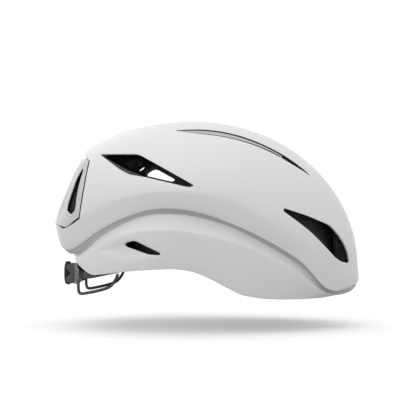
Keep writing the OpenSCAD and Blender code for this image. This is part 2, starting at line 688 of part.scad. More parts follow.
// A clip on the end of each arm holds the bore that turns on the temple pin
clip_l = 9;
clip_h = 4.6;
module arm_clip(side) {
    inner_y = anchor_y - seat_gap - eye_t;
    color(cradle_grey)
        mirror([0, side > 0 ? 0 : 1, 0])
            difference() {
                union() {
                    translate([pivot_x, inner_y, pivot_z])
                        rotate([-90, 0, 0])
                            cylinder(r = clip_r, h = eye_t, $fn = 48);
                    translate([pivot_x - clip_r - clip_l, inner_y, pivot_z - 1.6])
                        cube([clip_r + clip_l, arm_y - strip_t / 2 - arm_gap - inner_y, clip_h]);
                }
                translate([pivot_x, 0, pivot_z])
                    rotate([-90, 0, 0])
                        cylinder(r = pivot_r + pivot_clear, h = 100, $fn = 48);
            }
}

// The yoke is a curved channel round the back of the head, which guides the two racks
yoke_x = -30;
yoke_turn = 23;
channel_gap = 0.35;
// Distance of the racks' pitch lines from the pinion's
mesh_gap = 0.25;
channel_h = 2 * (pinion_r + mesh_gap + rack_h + channel_gap);
// Walls of the yoke ahead of the racks and beside them
yoke_wall = 1.6;
yoke_lid = 1.5;
yoke_window = 13;
module ring_sector(r0, r1, z0, z1, a0, a1) {
    translate([yoke_x, 0, 0])
        rotate([0, 0, 180 + a0])
            rotate_extrude(angle = a1 - a0, $fn = 96)
                translate([r0, z0])
                    square([r1 - r0, z1 - z0]);
}
channel_in = rack_r - rack_t / 2 - channel_gap;
channel_out = rack_r + rack_t / 2 + channel_gap;
module cradle_yoke() {
    color(cradle_grey)
        difference() {
            ring_sector(channel_in - yoke_wall, channel_out, dial_z - channel_h / 2 - yoke_lid,
                dial_z + channel_h / 2 + yoke_lid, -yoke_turn, yoke_turn);
            ring_sector(channel_in, channel_out + 1, dial_z - channel_h / 2,
                dial_z + channel_h / 2, -yoke_turn + 1, yoke_turn - 1);
            for (side = [-1, 1])
                ring_sector(channel_in - 2 * yoke_wall, channel_in + 1, dial_z - rack_h,
                    dial_z + rack_h, side * yoke_window - 4, side * yoke_window + 4);
            screw_holes(screw_r + screw_clear);
        }
}
screw_turn = 21.2;
screw_r = 1.15;
screw_head_r = 2.1;
screw_clear = 0.1;
module screw_holes(r) {
    for (side = [-1, 1])
        translate([yoke_x, 0, dial_z])
            rotate([0, 0, 180 + side * screw_turn])
                translate([channel_in - 4, 0, 0])
                    rotate([0, 90, 0])
                        cylinder(r = r, h = 14, $fn = 32);
}
// Two notched cheeks stand on the cover beside the dial, as distance behind it and height
cheek = [[0, 9.2], [5.6, 8.9], [7.7, 7.4], [7.9, 4.6], [3.6, 0], [8.5, -4.6], [8.4, -6.6],
    [3.7, -9.4], [0, -9.2]];
cheek_t = 1.6;
cheek_gap = 0.9;
cover_t = 1.65;
cover_fit = 0.05;
boss_t = 3;
module cheeks() {
    for (side = [-1, 1])
        translate([yoke_x - channel_out - 0.1, side * (dial_r + cheek_gap)
            + (side > 0 ? cheek_t : 0), dial_z])
            rotate([90, 0, 0])
                linear_extrude(height = cheek_t)
                    polygon([for (p = cheek) [-p[0], p[1]]]);
}
module rack_cover() {
    color(cradle_grey)
        difference() {
            union() {
                ring_sector(channel_out + cover_fit, channel_out + cover_fit + cover_t,
                    dial_z - channel_h / 2 - yoke_lid, dial_z + channel_h / 2 + yoke_lid,
                    -yoke_turn, yoke_turn);
                translate([yoke_x - channel_out - boss_t - 0.4, 0, dial_z])
                    rotate([0, 90, 0])
                        cylinder(r = dial_r - 2.6, h = boss_t, $fn = 64);
                cheeks();
            }
            translate([yoke_x - channel_out - 10, 0, dial_z])
                rotate([0, 90, 0])
                    cylinder(r = shaft_r + shaft_clear, h = 14, $fn = 48);
            screw_holes(screw_r + screw_clear);
            for (side = [-1, 1])
                translate([yoke_x, 0, dial_z])
                    rotate([0, 0, 180 + side * screw_turn])
                        translate([channel_out + 0.9, 0, 0])
                            rotate([0, 90, 0])
                                cylinder(r = screw_head_r + 2 * screw_clear, h = 4, $fn = 32);
        }
}
module cover_screws() {
    color(grip_black)
        for (side = [-1, 1])
            translate([yoke_x, 0, dial_z])
                rotate([0, 0, 180 + side * screw_turn])
                    rotate([0, 90, 0])
                        difference() {
                            union() {
                                translate([0, 0, channel_in - yoke_wall])
                                    cylinder(r = screw_r, h = channel_out - channel_in + 2.8,
                                        $fn = 32);
                                translate([0, 0, channel_out + 1])
                                    cylinder(r = screw_head_r, h = 1, $fn = 32);
                            }
                            translate([0, 0, channel_out + 1.5])
                                cylinder(r = 1, h = 3, $fn = 6);
                        }
}

// Each rack is a toothed arc; the pinion turns between them and draws them past each other
rack_teeth = 14;
rack_long = 19;
rack_short = -9;
// Ends of the toothed length in degrees, and the size of the notches between teeth
rack_cut = [-8, 16.5];
notch_w = 1.1;
notch_h = 0.8;
module rack(side) {
    z0 = side > 0 ? dial_z + pinion_r + mesh_gap : dial_z - pinion_r - mesh_gap - rack_h;
    color(foam_black)
        difference() {
            ring_sector(rack_r - rack_t / 2, rack_r + rack_t / 2, z0, z0 + rack_h,
                side > 0 ? -rack_long : rack_short, side > 0 ? -rack_short : rack_long);
            for (k = [0 : rack_teeth - 1])
                translate([yoke_x, 0, side > 0 ? z0 - 0.01 : z0 + rack_h + 0.01 - notch_h])
                    rotate([0, 0, 180 - side * mix(rack_cut[0], rack_cut[1],
                        k / (rack_teeth - 1))])
                        translate([rack_r - rack_t, -notch_w / 2, 0])
                            cube([2 * rack_t, notch_w, notch_h]);
        }
}
shaft_r = 2.2;
shaft_clear = 0.08;
dial_x = yoke_x - channel_out - boss_t - 0.7;
module pinion() {
    color(foam_black)
        translate([yoke_x - rack_r, 0, dial_z])
            rotate([0, 90, 0]) {
                translate([0, 0, -rack_t / 2])
                    linear_extrude(height = rack_t)
                        polygon([for (k = [0 : 4 * pinion_teeth - 1])
                            let(a = k * 90 / pinion_teeth,
                                r = k % 4 < 2 ? pinion_r + 0.05 : pinion_r - 0.9)
                            [r * cos(a), r * sin(a)]]);
                translate([0, 0, dial_x - yoke_x + rack_r - 1])
                    cylinder(r = shaft_r, h = yoke_x - rack_r - dial_x + 1, $fn = 48);
            }
}
dial_depth = 7;
// The knob's flat neck ahead of its lobes, and the reach of the rubber ring
neck_t = 1.4;
grip_t = 1.3;
// Outline of the dial with rounded lobes: mean radius, height of the lobes and their number
module lobed(r, height, lobes) {
    polygon([for (k = [0 : 95])
        let(a = k * 3.75, reach = r + height * cos(a * lobes)) [reach * cos(a), reach * sin(a)]]);
}
module dial_knob() {
    color(cradle_grey)
        difference() {
            union() {
                translate([dial_x - dial_depth, 0, dial_z])
                    rotate([0, 90, 0])
                        linear_extrude(height = dial_depth - neck_t)
                            lobed(dial_r - grip_t - 0.3, 0.35, 12);
                translate([dial_x - neck_t, 0, dial_z])
                    rotate([0, 90, 0])
                        cylinder(r = dial_r - 3.2, h = neck_t, $fn = 64);
            }
            translate([dial_x - dial_depth - 1, 0, dial_z])
                rotate([0, 90, 0])
                    cylinder(r = dial_r - 4.6, h = 2, $fn = 64);
            translate([dial_x - 1.2, 0, dial_z])
                rotate([0, 90, 0])
                    cylinder(r = shaft_r + 0.05, h = 3, $fn = 48);
        }
}
module dial_grip() {
    color(grip_black)
        translate([dial_x - dial_depth + 0.6, 0, dial_z])
            rotate([0, 90, 0])
                difference() {
                    linear_extrude(height = dial_depth - 2.6)
                        lobed(dial_r - 0.25, 0.25, 24);
                    translate([0, 0, -1])
                        linear_extrude(height = dial_depth + 2)
                            lobed(dial_r - grip_t, 0.35, 12);
                }
}

// Each neck loop hangs from the yoke, runs forward below it and rises to the arm
loop_route = [[-128.4, 37, -25.5], [-128, 37.6, -30.6], [-126, 38.2, -33.4],
    [-119, 39.4, -32.6], [-108, 41, -30.2], [-99, 42.4, -27], [-93.6, 43.2, -21],
    [-91, 43.4, -15]];
module neck_loop(side) {
    path = smooth_path(loop_route, 16);
    sides = 6;
    n = len(path);
    color(cradle_grey)
        mirror([0, side > 0 ? 0 : 1, 0])
            capped_sweep([for (k = [0 : n - 1])
                let(d = path[min(k + 1, n - 1)] - path[max(k - 1, 0)], t = d / norm(d),
                    b = cross(t, [0, 1, 0]), b1 = b / norm(b), b2 = cross(b1, t))
                [for (i = [0 : sides - 1])
                    path[k] + loop_t / 2 * (b1 * cos(i * 360 / sides)
                        + b2 * sin(i * 360 / sides))]]);
}

// The hanger slides in its socket on an arc about the temple pins, just inside the head bowl
hanger_r = pivot_x + head_half_l - 4.2;
hanger_w = 6.2;
hanger_t = 1.8;
// Where the hanger and its socket begin and end, in degrees above the level of the pins
hanger_arc = [0.2, 19];
socket_arc = [8, 16];
socket_in = hanger_r - 2;
socket_out = hanger_r + hanger_t + 2.8;
socket_w = hanger_w + 2;
module hanger_sector(r0, r1, w, arc) {
    translate([pivot_x, w, pivot_z])
        rotate([90, 0, 0])
            rotate([0, 0, 180 - arc[1]])
                rotate_extrude(angle = arc[1] - arc[0], $fn = 180)
                    translate([r0, 0])
                        square([r1 - r0, 2 * w]);
}
module height_hanger() {
    foot_z = dial_z + channel_h / 2 + yoke_lid;
    foot_x = yoke_x - channel_in + 1.4;
    color(cradle_grey)
        union() {
            hanger_sector(hanger_r, hanger_r + hanger_t, hanger_w, hanger_arc);
            translate([foot_x, -hanger_w, foot_z + 0.2])
                cube([pivot_x - hanger_r - 0.2 - foot_x, 2 * hanger_w, hanger_t]);
        }
}
module hanger_socket() {
    color(cradle_grey)
        difference() {
            hanger_sector(socket_in, socket_out, socket_w, socket_arc);
            hanger_sector(hanger_r - channel_gap, hanger_r + hanger_t + channel_gap,
                hanger_w + channel_gap, socket_arc + [-1, 1]);
            hanger_sector(socket_in - 1, hanger_r, hanger_w - 1.6, socket_arc + [-1, 1]);
        }
}

// Neck pads lie on the inside of the yoke: middle and half length in degrees, half height
neck_pad_turn = 12.5;
neck_pad_half = 7.5;
neck_pad_h = 6.5;
neck_pad_t = 2.4;
module neck_pad(side) {
    nu = 10;
    nv = 5;
    function at(i, j, k) =
        let(u = i / nu * 2 - 1, v = j / nv * 2 - 1,
            a = 180 + neck_pad_turn + neck_pad_half * u * (1 - 0.06 * (1 - v * v)),
            z = dial_z + neck_pad_h * v * (1 - 0.1 * (1 - u * u)),
            r = channel_in - yoke_wall - pad_gap
                - (k == 0 ? 0 : 0.4 + neck_pad_t * pad_crown(u, v, [0])))
        [yoke_x + r * cos(a), r * sin(a), z];
    color(pad_grey)
        mirror([0, side > 0 ? 1 : 0, 0])
            capped_sweep([for (i = [0 : nu])
                concat([for (j = [0 : nv]) at(i, j, 0)],
                    [for (j = [nv : -1 : 0]) at(i, j, 1)])]);
}

// Webbing stands on its edge and lies tucked inside the bowl. Along the sides of the head a
// route gives y as a share of the head's half width.
function beside_head(route) = [for (p = route) [p[0], p[1] * head_half_w, p[2]]];
front_strap_route = beside_head([[63, 0.7407, -14], [50, 0.7852, -19], [39.6, 0.8123, -22]]);
rear_strap_route = beside_head([[-50, 0.8222, 12], [-35, 0.8519, 8], [-15, 0.8617, 1],
    [5, 0.8568, -9], [14, 0.8346, -16], [20.4, 0.7975, -22]]);
chin_side = beside_head([[39.6, 0.7605, -26], [55, 0.716, -26], [70, 0.6247, -26]]);
chin_left_route = concat(chin_side, [[79.4, 40.6, -26], [83.6, 34, -26], [84.4, 28.4, -26],
    [84.4, 27, -26], [84.4, 14, -26], [84.4, 1.4, -26]]);
chin_right_route = concat(chin_side, [[81, 40, -26], [85.6, 32, -26], [86, 26.6, -26]]);
module ribbon(route, side, steps) {
    path = smooth_path(route, steps);
    n = len(path);
    color(web_black)
        mirror([0, side > 0 ? 0 : 1, 0])
            capped_sweep([for (k = [0 : n - 1])
                let(d = path[min(k + 1, n - 1)] - path[max(k - 1, 0)],
                    across = [-d[1], d[0], 0] / norm([d[0], d[1]]) * web_t / 2,
                    up = [0, 0, web_w / 2], p = path[k])
                [p + across - up, p - across - up, p - across + up, p + across + up]]);
}
divider_at = beside_head([[30, 0.7827, -24]])[0];
divider_size = [18.6, 7.4, web_w + 6];
divider_slot = [3, divider_size[1] + 2, web_w - 2];
module strap_divider(side) {
    color(grip_black)
        mirror([0, side > 0 ? 0 : 1, 0])
            translate(divider_at)
                difference() {
                    cube(divider_size, center = true);
                    for (x = [-1, 1])
                        translate([x * divider_size[0] / 4, 0, 0])
                            cube(divider_slot, center = true);
                }
}
buckle_x = 86;
buckle_z = -26;
buckle_t = 8;
buckle_h = web_w + 4;
buckle_l = 26;
buckle_wall = 1.6;
// The left strap passes beside the prongs, so that they slide past its end
strap_side = 1.6;
web_gap = 0.4;
prong_z = 4.6;
prong_h = 4;
prong_t = 2.6;
module buckle_socket() {
    color(grip_black)
        translate([buckle_x, 0, buckle_z])
            difference() {
                translate([-buckle_t / 2, -buckle_l, -buckle_h / 2])
                    cube([buckle_t, buckle_l, buckle_h]);
                translate([buckle_wall - buckle_t / 2, 8 - buckle_l, buckle_wall - buckle_h / 2])
                    cube([buckle_t - 2 * buckle_wall, buckle_l, buckle_h - 2 * buckle_wall]);
                for (z = [-1, 1])
                    translate([-buckle_t, 12 - buckle_l, z * buckle_h / 2 - 2])
                        cube([2 * buckle_t, 7, 4]);
            }
}
module buckle_insert() {
    color(grip_black)
        translate([buckle_x, 0, buckle_z])
            union() {
                difference() {
                    translate([-buckle_t / 2, web_gap, -buckle_h / 2])
                        cube([buckle_t, 10, buckle_h]);
                    translate([-strap_side - web_t / 2 - web_gap, 0, -web_w / 2 - web_gap])
                        cube([web_t + 2 * web_gap, 12, web_w + 2 * web_gap]);
                }
                for (z = [-1, 1])
                    translate([0.5 - strap_side + web_t / 2, -buckle_travel,
                        z * prong_z - prong_h / 2])
                        cube([prong_t, buckle_travel + 0.6, prong_h]);
            }
}

upper_shell();
lower_shell();
rear_vent_frame();
slot_tray(1);  // slot_tray_left
slot_tray(-1);  // slot_tray_right
outer_liner();
tether_posts();
inner_liner();
pad(brow_pitch, brow_lean, brow_pad_t, 26, 5, [-0.34, 0.34]);  // brow_pad
pad(crown_pitch, crown_lean, pad_t, 5, 14, [0]);  // crown_pad_left
mirror([0, 1, 0]) pad(crown_pitch, crown_lean, pad_t, 5, 14, [0]);  // crown_pad_right
pad(side_pitch, side_lean, pad_t, 7, 7, [0]);  // side_pad_left
mirror([0, 1, 0]) pad(side_pitch, side_lean, pad_t, 7, 7, [0]);  // side_pad_right
pad(rear_pitch, rear_lean, pad_t, 14, 6, [-0.4, 0.4]);  // rear_pad
pad_discs();
temple_anchor(1);  // temple_anchor_left
temple_anchor(-1);  // temple_anchor_right
hanger_socket();
cradle_yoke();
arm(1);  // arm_left
arm(-1);  // arm_right
arm_clip(1);  // arm_clip_left
arm_clip(-1);  // arm_clip_right
neck_loop(1);  // neck_loop_left
neck_loop(-1);  // neck_loop_right
rack_cover();
height_hanger();
neck_pad(1);  // neck_pad_left
neck_pad(-1);  // neck_pad_right
cover_screws();
dial_knob();
dial_grip();
pinion();
rack(1);  // rack_left
rack(-1);  // rack_right
ribbon(front_strap_route, 1, 8);  // front_strap_left
ribbon(front_strap_route, -1, 8);  // front_strap_right
ribbon(rear_strap_route, 1, 16);  // rear_strap_left
ribbon(rear_strap_route, -1, 16);  // rear_strap_right
strap_divider(1);  // strap_divider_left
strap_divider(-1);  // strap_divider_right
ribbon(chin_left_route, 1, 20);  // chin_strap_left
ribbon(chin_right_route, -1, 16);  // chin_strap_right
buckle_socket();
buckle_insert();
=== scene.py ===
# %% [markdown]
# # An aero road helmet
# A helmet of this kind is a stack of layers: two thin white shells outside, bead foam under them
# in two parts that slip on each other, cloth pads, and a cradle that a dial draws tight round the
# back of the head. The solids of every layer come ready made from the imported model. This lesson
# dresses them: it rebuilds the skins finely enough for a close look and gives each finish its
# grain. Lengths in the formulas are millimetres, and Blender's are metres.

import math

import bmesh
import bpy
import numpy as np
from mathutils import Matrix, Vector
from mathutils.geometry import delaunay_2d_cdt


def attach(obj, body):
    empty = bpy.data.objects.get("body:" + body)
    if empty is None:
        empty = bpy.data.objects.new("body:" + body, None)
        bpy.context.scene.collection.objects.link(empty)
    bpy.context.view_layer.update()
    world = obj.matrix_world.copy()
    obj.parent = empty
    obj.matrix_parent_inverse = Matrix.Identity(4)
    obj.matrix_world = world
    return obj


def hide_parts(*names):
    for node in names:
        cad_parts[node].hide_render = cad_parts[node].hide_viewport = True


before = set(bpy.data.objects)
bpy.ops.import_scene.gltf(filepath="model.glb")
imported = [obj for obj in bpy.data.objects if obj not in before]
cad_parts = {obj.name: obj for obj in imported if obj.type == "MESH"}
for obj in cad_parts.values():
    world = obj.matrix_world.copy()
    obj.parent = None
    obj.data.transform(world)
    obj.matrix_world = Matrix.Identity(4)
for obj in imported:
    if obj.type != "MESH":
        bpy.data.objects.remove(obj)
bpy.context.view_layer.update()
MM = 0.001

# %% [markdown]
# ## The camera
# The photograph is a pure side view: the helmet's right side, with the nose to the right. A long
# lens at the height of the temples keeps the near and far edges almost in line, as it shows them.
# A camera that looks along +Y needs a quarter turn about X and nothing else.

# %% The camera
scene = bpy.context.scene
side_view = bpy.data.cameras.new("side_view")
camera = bpy.data.objects.new("side_view", side_view)
scene.collection.objects.link(camera)
camera_distance = 1200
picture_width = 399.36
aim_x, aim_z = -7.7, 46.1
side_view.sensor_width = 36
side_view.lens = side_view.sensor_width * camera_distance / picture_width
side_view.clip_end = 20
camera.location = np.array([aim_x, -camera_distance, aim_z]) * MM
camera.rotation_euler = (math.pi / 2, 0, 0)
scene.camera = camera
print("lens", round(side_view.lens, 1), "mm")

# %% [markdown]
# ## Light and floor
# White plastic shows its form by small steps of grey, so the light is wide and soft: a white tent
# all round and a floor that gives back less than half of it, which is why the sides that face down
# go grey. The lamps only lean the light a little. Only the camera and the rays of mirrors and
# glass see the white background: the Light Path node tells them from the light on the helmet.


# %% A helper for shader nodes
def node(tree, kind, **settings):
    """Adds one node. Plain names set properties, and names with a capital set sockets."""
    made = tree.nodes.new(kind)
    for name, value in settings.items():
        if name[0].isupper():
            made.inputs[name.replace("_", " ")].default_value = value
        else:
            setattr(made, name, value)
    return made


def wire(tree, *links):
    """Links each (node, output, node, input)."""
    for source, output, target, entry in links:
        tree.links.new(source.outputs[output], target.inputs[entry])


def seen_by_eye(tree):
    """A mask that is 1 for rays from the camera, and from mirrors and glass, and 0 for light."""
    path = node(tree, "ShaderNodeLightPath")
    both = node(tree, "ShaderNodeMath", operation="MAXIMUM")
    three = node(tree, "ShaderNodeMath", operation="MAXIMUM")
    wire(tree, (path, "Is Camera Ray", both, 0), (path, "Is Glossy Ray", both, 1),
         (both, 0, three, 0), (path, "Is Transmission Ray", three, 1))
    return three.outputs[0]


# %% The room's glow
room_light = 0.86
room = bpy.data.worlds.new("white_room")
scene.world = room
room.use_nodes = True
sky = room.node_tree
sky.nodes.clear()
glow = node(sky, "ShaderNodeBackground", Color=(1, 1, 1, 1), Strength=room_light)
white = node(sky, "ShaderNodeBackground", Color=(1, 1, 1, 1), Strength=1)
choose = node(sky, "ShaderNodeMixShader")
sky_out = node(sky, "ShaderNodeOutputWorld")
sky.links.new(seen_by_eye(sky), choose.inputs[0])
wire(sky, (glow, 0, choose, 1), (white, 0, choose, 2), (choose, 0, sky_out, 0))
scene.view_settings.view_transform = "Standard"


# %% A soft ceiling and a window
def panel(name, place, size, watts, aim):
    """A square area lamp at a place in metres, turned to face the aim."""
    lamp = bpy.data.lights.new(name, "AREA")
    lamp.size = size
    lamp.energy = watts
    holder = bpy.data.objects.new(name, lamp)
    scene.collection.objects.link(holder)
    holder.location = place
    holder.rotation_euler = (Vector(aim) - Vector(place)).to_track_quat("-Z", "Y").to_euler()


middle = (-0.01, 0, 0.03)
panel("ceiling", (-0.3, -0.1, 1.9), 2.4, 2.5, middle)
panel("window", (-1.2, -2.1, 0.9), 1.6, 9.5, middle)
panel("far_window", (-1.2, 2.1, 0.9), 1.6, 8, middle)

# %% The floor: paper that lights the helmet as grey and is seen as white, with its shadow
floor_z = -66
floor_half = 9
floor_mesh = bpy.data.meshes.new("floor")
floor_mesh.from_pydata([(floor_half * x, floor_half * y, floor_z * MM)
                        for x, y in ((-1, -1), (1, -1), (1, 1), (-1, 1))], [], [(0, 1, 2, 3)])
floor = bpy.data.objects.new("floor", floor_mesh)
scene.collection.objects.link(floor)
paper = bpy.data.materials.new("white_paper")
paper.use_nodes = True
tree = paper.node_tree
shade = tree.nodes["Principled BSDF"]
shade.inputs["Base Color"].default_value = (0.36, 0.36, 0.36, 1)
shade.inputs["Roughness"].default_value = 0.9
shade.inputs["Specular IOR Level"].default_value = 0.1
pale = node(tree, "ShaderNodeBsdfDiffuse", Color=(0.76, 0.76, 0.76, 1))
lit = node(tree, "ShaderNodeEmission", Color=(1, 1, 1, 1), Strength=0.34)
sum_up = node(tree, "ShaderNodeAddShader")
pick = node(tree, "ShaderNodeMixShader")
tree.links.new(seen_by_eye(tree), pick.inputs[0])
wire(tree, (shade, 0, pick, 1), (pale, 0, sum_up, 0), (lit, 0, sum_up, 1), (sum_up, 0, pick, 2))
tree.links.new(pick.outputs[0], tree.nodes["Material Output"].inputs[0])
floor_mesh.materials.append(paper)

# %% [markdown]
# ## Finishes
# Every finish on the helmet varies a little over its surface: moulded plastic has the fine grain
# of its mould, foam shows the beads that it was blown from, webbing its weave. Such an effect is
# built once as a node group with named inputs, and each material places it with its own values.
# The groups read Object coordinates, which are metres on every piece here, so a grain of 0.4 mm
# is the same on all of them.


# %% A helper for node groups
def effect(name, inputs, outputs):
    """An empty node group with named inputs, as (name, socket, default), and named outputs."""
    group = bpy.data.node_groups.new(name, "ShaderNodeTree")
    for title, kind, value in inputs:
        socket = group.interface.new_socket(title, in_out="INPUT", socket_type=kind)
        socket.default_value = value
    for title, kind in outputs:
        group.interface.new_socket(title, in_out="OUTPUT", socket_type=kind)
    return group, group.nodes.new("NodeGroupInput"), group.nodes.new("NodeGroupOutput")


FLOAT = "NodeSocketFloat"
COLOUR = "NodeSocketColor"

# %% Mould grain: fine bumps, with slow patches of tone and gloss
mould_grain, given, gives = effect(
    "mould_grain",
    [("Colour", COLOUR, (0.8, 0.8, 0.8, 1)), ("Grains per Metre", FLOAT, 2500),
     ("Patches per Metre", FLOAT, 18), ("Tone", FLOAT, 0.03), ("Roughness Low", FLOAT, 0.4),
     ("Roughness High", FLOAT, 0.5)],
    [("Colour", COLOUR), ("Roughness", FLOAT), ("Height", FLOAT)],
)
place = node(mould_grain, "ShaderNodeTexCoord")
grain = node(mould_grain, "ShaderNodeTexNoise", Detail=3.0, Roughness=0.6)
patch = node(mould_grain, "ShaderNodeTexNoise", Detail=4.0, Roughness=0.55)
gloss = node(mould_grain, "ShaderNodeMapRange")
dim = node(mould_grain, "ShaderNodeMath", operation="MULTIPLY_ADD")
dim.inputs[2].default_value = 1
shift = node(mould_grain, "ShaderNodeMath", operation="SUBTRACT")
shift.inputs[1].default_value = 0.5
tone = node(mould_grain, "ShaderNodeVectorMath", operation="SCALE")
wire(mould_grain, (place, "Object", grain, "Vector"), (place, "Object", patch, "Vector"),
     (given, "Grains per Metre", grain, "Scale"), (given, "Patches per Metre", patch, "Scale"),
     (patch, 0, gloss, "Value"), (given, "Roughness Low", gloss, "To Min"),
     (given, "Roughness High", gloss, "To Max"), (patch, 0, shift, 0), (shift, 0, dim, 0),
     (given, "Tone", dim, 1), (given, "Colour", tone, 0), (dim, 0, tone, "Scale"),
     (tone, 0, gives, "Colour"), (gloss, 0, gives, "Roughness"), (grain, 0, gives, "Height"))

# %% Edge wear: handled edges polish and pale, in broken patches
edge_wear, given, gives = effect(
    "edge_wear",
    [("Colour", COLOUR, (0.1, 0.1, 0.1, 1)), ("Worn Colour", COLOUR, (0.2, 0.2, 0.2, 1)),
     ("Amount", FLOAT, 0.5), ("Patches per Metre", FLOAT, 220)],
    [("Colour", COLOUR)],
)
bend = node(edge_wear, "ShaderNodeNewGeometry")
ridge = node(edge_wear, "ShaderNodeMapRange")
ridge.inputs["From Min"].default_value = 0.51
ridge.inputs["From Max"].default_value = 0.6
place = node(edge_wear, "ShaderNodeTexCoord")
rub = node(edge_wear, "ShaderNodeTexNoise", Detail=4.0)
rubbed = node(edge_wear, "ShaderNodeMath", operation="MULTIPLY")
share = node(edge_wear, "ShaderNodeMath", operation="MULTIPLY")
blend = node(edge_wear, "ShaderNodeMix", data_type="RGBA")
wire(edge_wear, (bend, "Pointiness", ridge, "Value"), (place, "Object", rub, "Vector"),
     (given, "Patches per Metre", rub, "Scale"), (ridge, 0, rubbed, 0), (rub, 0, rubbed, 1),
     (rubbed, 0, share, 0), (given, "Amount", share, 1), (share, 0, blend, 0),
     (given, "Colour", blend, 6), (given, "Worn Colour", blend, 7), (blend, 2, gives, "Colour"))

# %% Fused beads: the cells of blown foam, each a little different in tone
fused_beads, given, gives = effect(
    "fused_beads",
    [("Dark", COLOUR, (0.022, 0.022, 0.023, 1)), ("Light", COLOUR, (0.055, 0.055, 0.057, 1)),
     ("Beads per Metre", FLOAT, 260), ("Roughness Low", FLOAT, 0.5),
     ("Roughness High", FLOAT, 0.75)],
    [("Colour", COLOUR), ("Roughness", FLOAT), ("Height", FLOAT)],
)
place = node(fused_beads, "ShaderNodeTexCoord")
seam = node(fused_beads, "ShaderNodeTexVoronoi", feature="DISTANCE_TO_EDGE")
cell = node(fused_beads, "ShaderNodeTexVoronoi", feature="F1")
swell = node(fused_beads, "ShaderNodeMapRange")
swell.inputs["From Max"].default_value = 0.16
apart = node(fused_beads, "ShaderNodeSeparateColor")
tint = node(fused_beads, "ShaderNodeMix", data_type="RGBA")
rough = node(fused_beads, "ShaderNodeMapRange")
wire(fused_beads, (place, "Object", seam, "Vector"), (given, "Beads per Metre", seam, "Scale"),
     (place, "Object", cell, "Vector"), (given, "Beads per Metre", cell, "Scale"),
     (seam, "Distance", swell, "Value"), (cell, "Color", apart, 0), (apart, 0, tint, 0),
     (given, "Dark", tint, 6), (given, "Light", tint, 7), (apart, 1, rough, "Value"),
     (given, "Roughness Low", rough, "To Min"), (given, "Roughness High", rough, "To Max"),
     (tint, 2, gives, "Colour"), (rough, 0, gives, "Roughness"), (swell, 0, gives, "Height"))

# %% Plain weave: ribs of warp crossed by weft, laid out by the strap's own length and width
plain_weave, given, gives = effect(
    "plain_weave",
    [("Dark", COLOUR, (0.01, 0.01, 0.011, 1)), ("Light", COLOUR, (0.05, 0.05, 0.055, 1)),
     ("Threads per Metre", FLOAT, 1100)],
    [("Colour", COLOUR), ("Height", FLOAT)],
)
laid = node(plain_weave, "ShaderNodeUVMap", uv_map="cloth")
scale = node(plain_weave, "ShaderNodeVectorMath", operation="SCALE")
full_turn = node(plain_weave, "ShaderNodeMath", operation="MULTIPLY")
full_turn.inputs[1].default_value = 2 * math.pi
parts = node(plain_weave, "ShaderNodeSeparateXYZ")
warp = node(plain_weave, "ShaderNodeMath", operation="SINE")
weft = node(plain_weave, "ShaderNodeMath", operation="SINE")
cross = node(plain_weave, "ShaderNodeMath", operation="MULTIPLY")
raise_up = node(plain_weave, "ShaderNodeMath", operation="MULTIPLY_ADD")
raise_up.inputs[1].default_value = 0.5
raise_up.inputs[2].default_value = 0.5
thread = node(plain_weave, "ShaderNodeMix", data_type="RGBA")
wire(plain_weave, (laid, 0, scale, 0), (given, "Threads per Metre", full_turn, 0),
     (full_turn, 0, scale, "Scale"), (scale, 0, parts, 0), (parts, 0, warp, 0),
     (parts, 1, weft, 0), (warp, 0, cross, 0), (weft, 0, cross, 1), (cross, 0, raise_up, 0),
     (raise_up, 0, thread, 0), (given, "Dark", thread, 6), (given, "Light", thread, 7),
     (thread, 2, gives, "Colour"), (raise_up, 0, gives, "Height"))


# %% [markdown]
# ## Materials
# A material here is one Principled shader. Its plain numbers, such as the metal or the sheen, are
# set on the shader itself, and only what changes over the surface comes in by a link from an
# effect. A Bump node turns an effect's height into a normal, with its depth in metres.


# %% A shader, and the effect that covers it
def material(name, **plain):
    """A new material, its tree and its shader, whose sockets are set by their names."""
    made = bpy.data.materials.new(name + "_finish")
    made.use_nodes = True
    shade = made.node_tree.nodes["Principled BSDF"]
    for title, value in plain.items():
        shade.inputs[title.replace("_", " ")].default_value = value
    return made, made.node_tree, shade


def cover(tree, shade, skin, depth):
    """Links what an effect gives to the shader, its height as bumps of a depth in metres."""
    bump = node(tree, "ShaderNodeBump", Strength=1.0, Distance=depth)
    wire(tree, (skin, "Height", bump, "Height"), (bump, 0, shade, "Normal"))
    for output, socket in (("Colour", "Base Color"), ("Roughness", "Roughness")):
        if output in skin.outputs:
            wire(tree, (skin, output, shade, socket))


# %% Moulded plastics, rubber and steel
def moulded(name, colour, rough, grains=2500, depth=0.00002, tone=0.03, worn=None, **plain):
    """Plastic, rubber or metal with grain, and worn edges where a worn colour is given."""
    made, tree, shade = material(name, **plain)
    skin = node(tree, "ShaderNodeGroup", node_tree=mould_grain, Colour=(*colour, 1), Tone=tone,
                Grains_per_Metre=grains, Roughness_Low=rough[0], Roughness_High=rough[1])
    cover(tree, shade, skin, depth)
    if worn is not None:
        edge = node(tree, "ShaderNodeGroup", node_tree=edge_wear, Worn_Colour=(*worn, 1))
        wire(tree, (skin, "Colour", edge, "Colour"), (edge, "Colour", shade, "Base Color"))
    return made


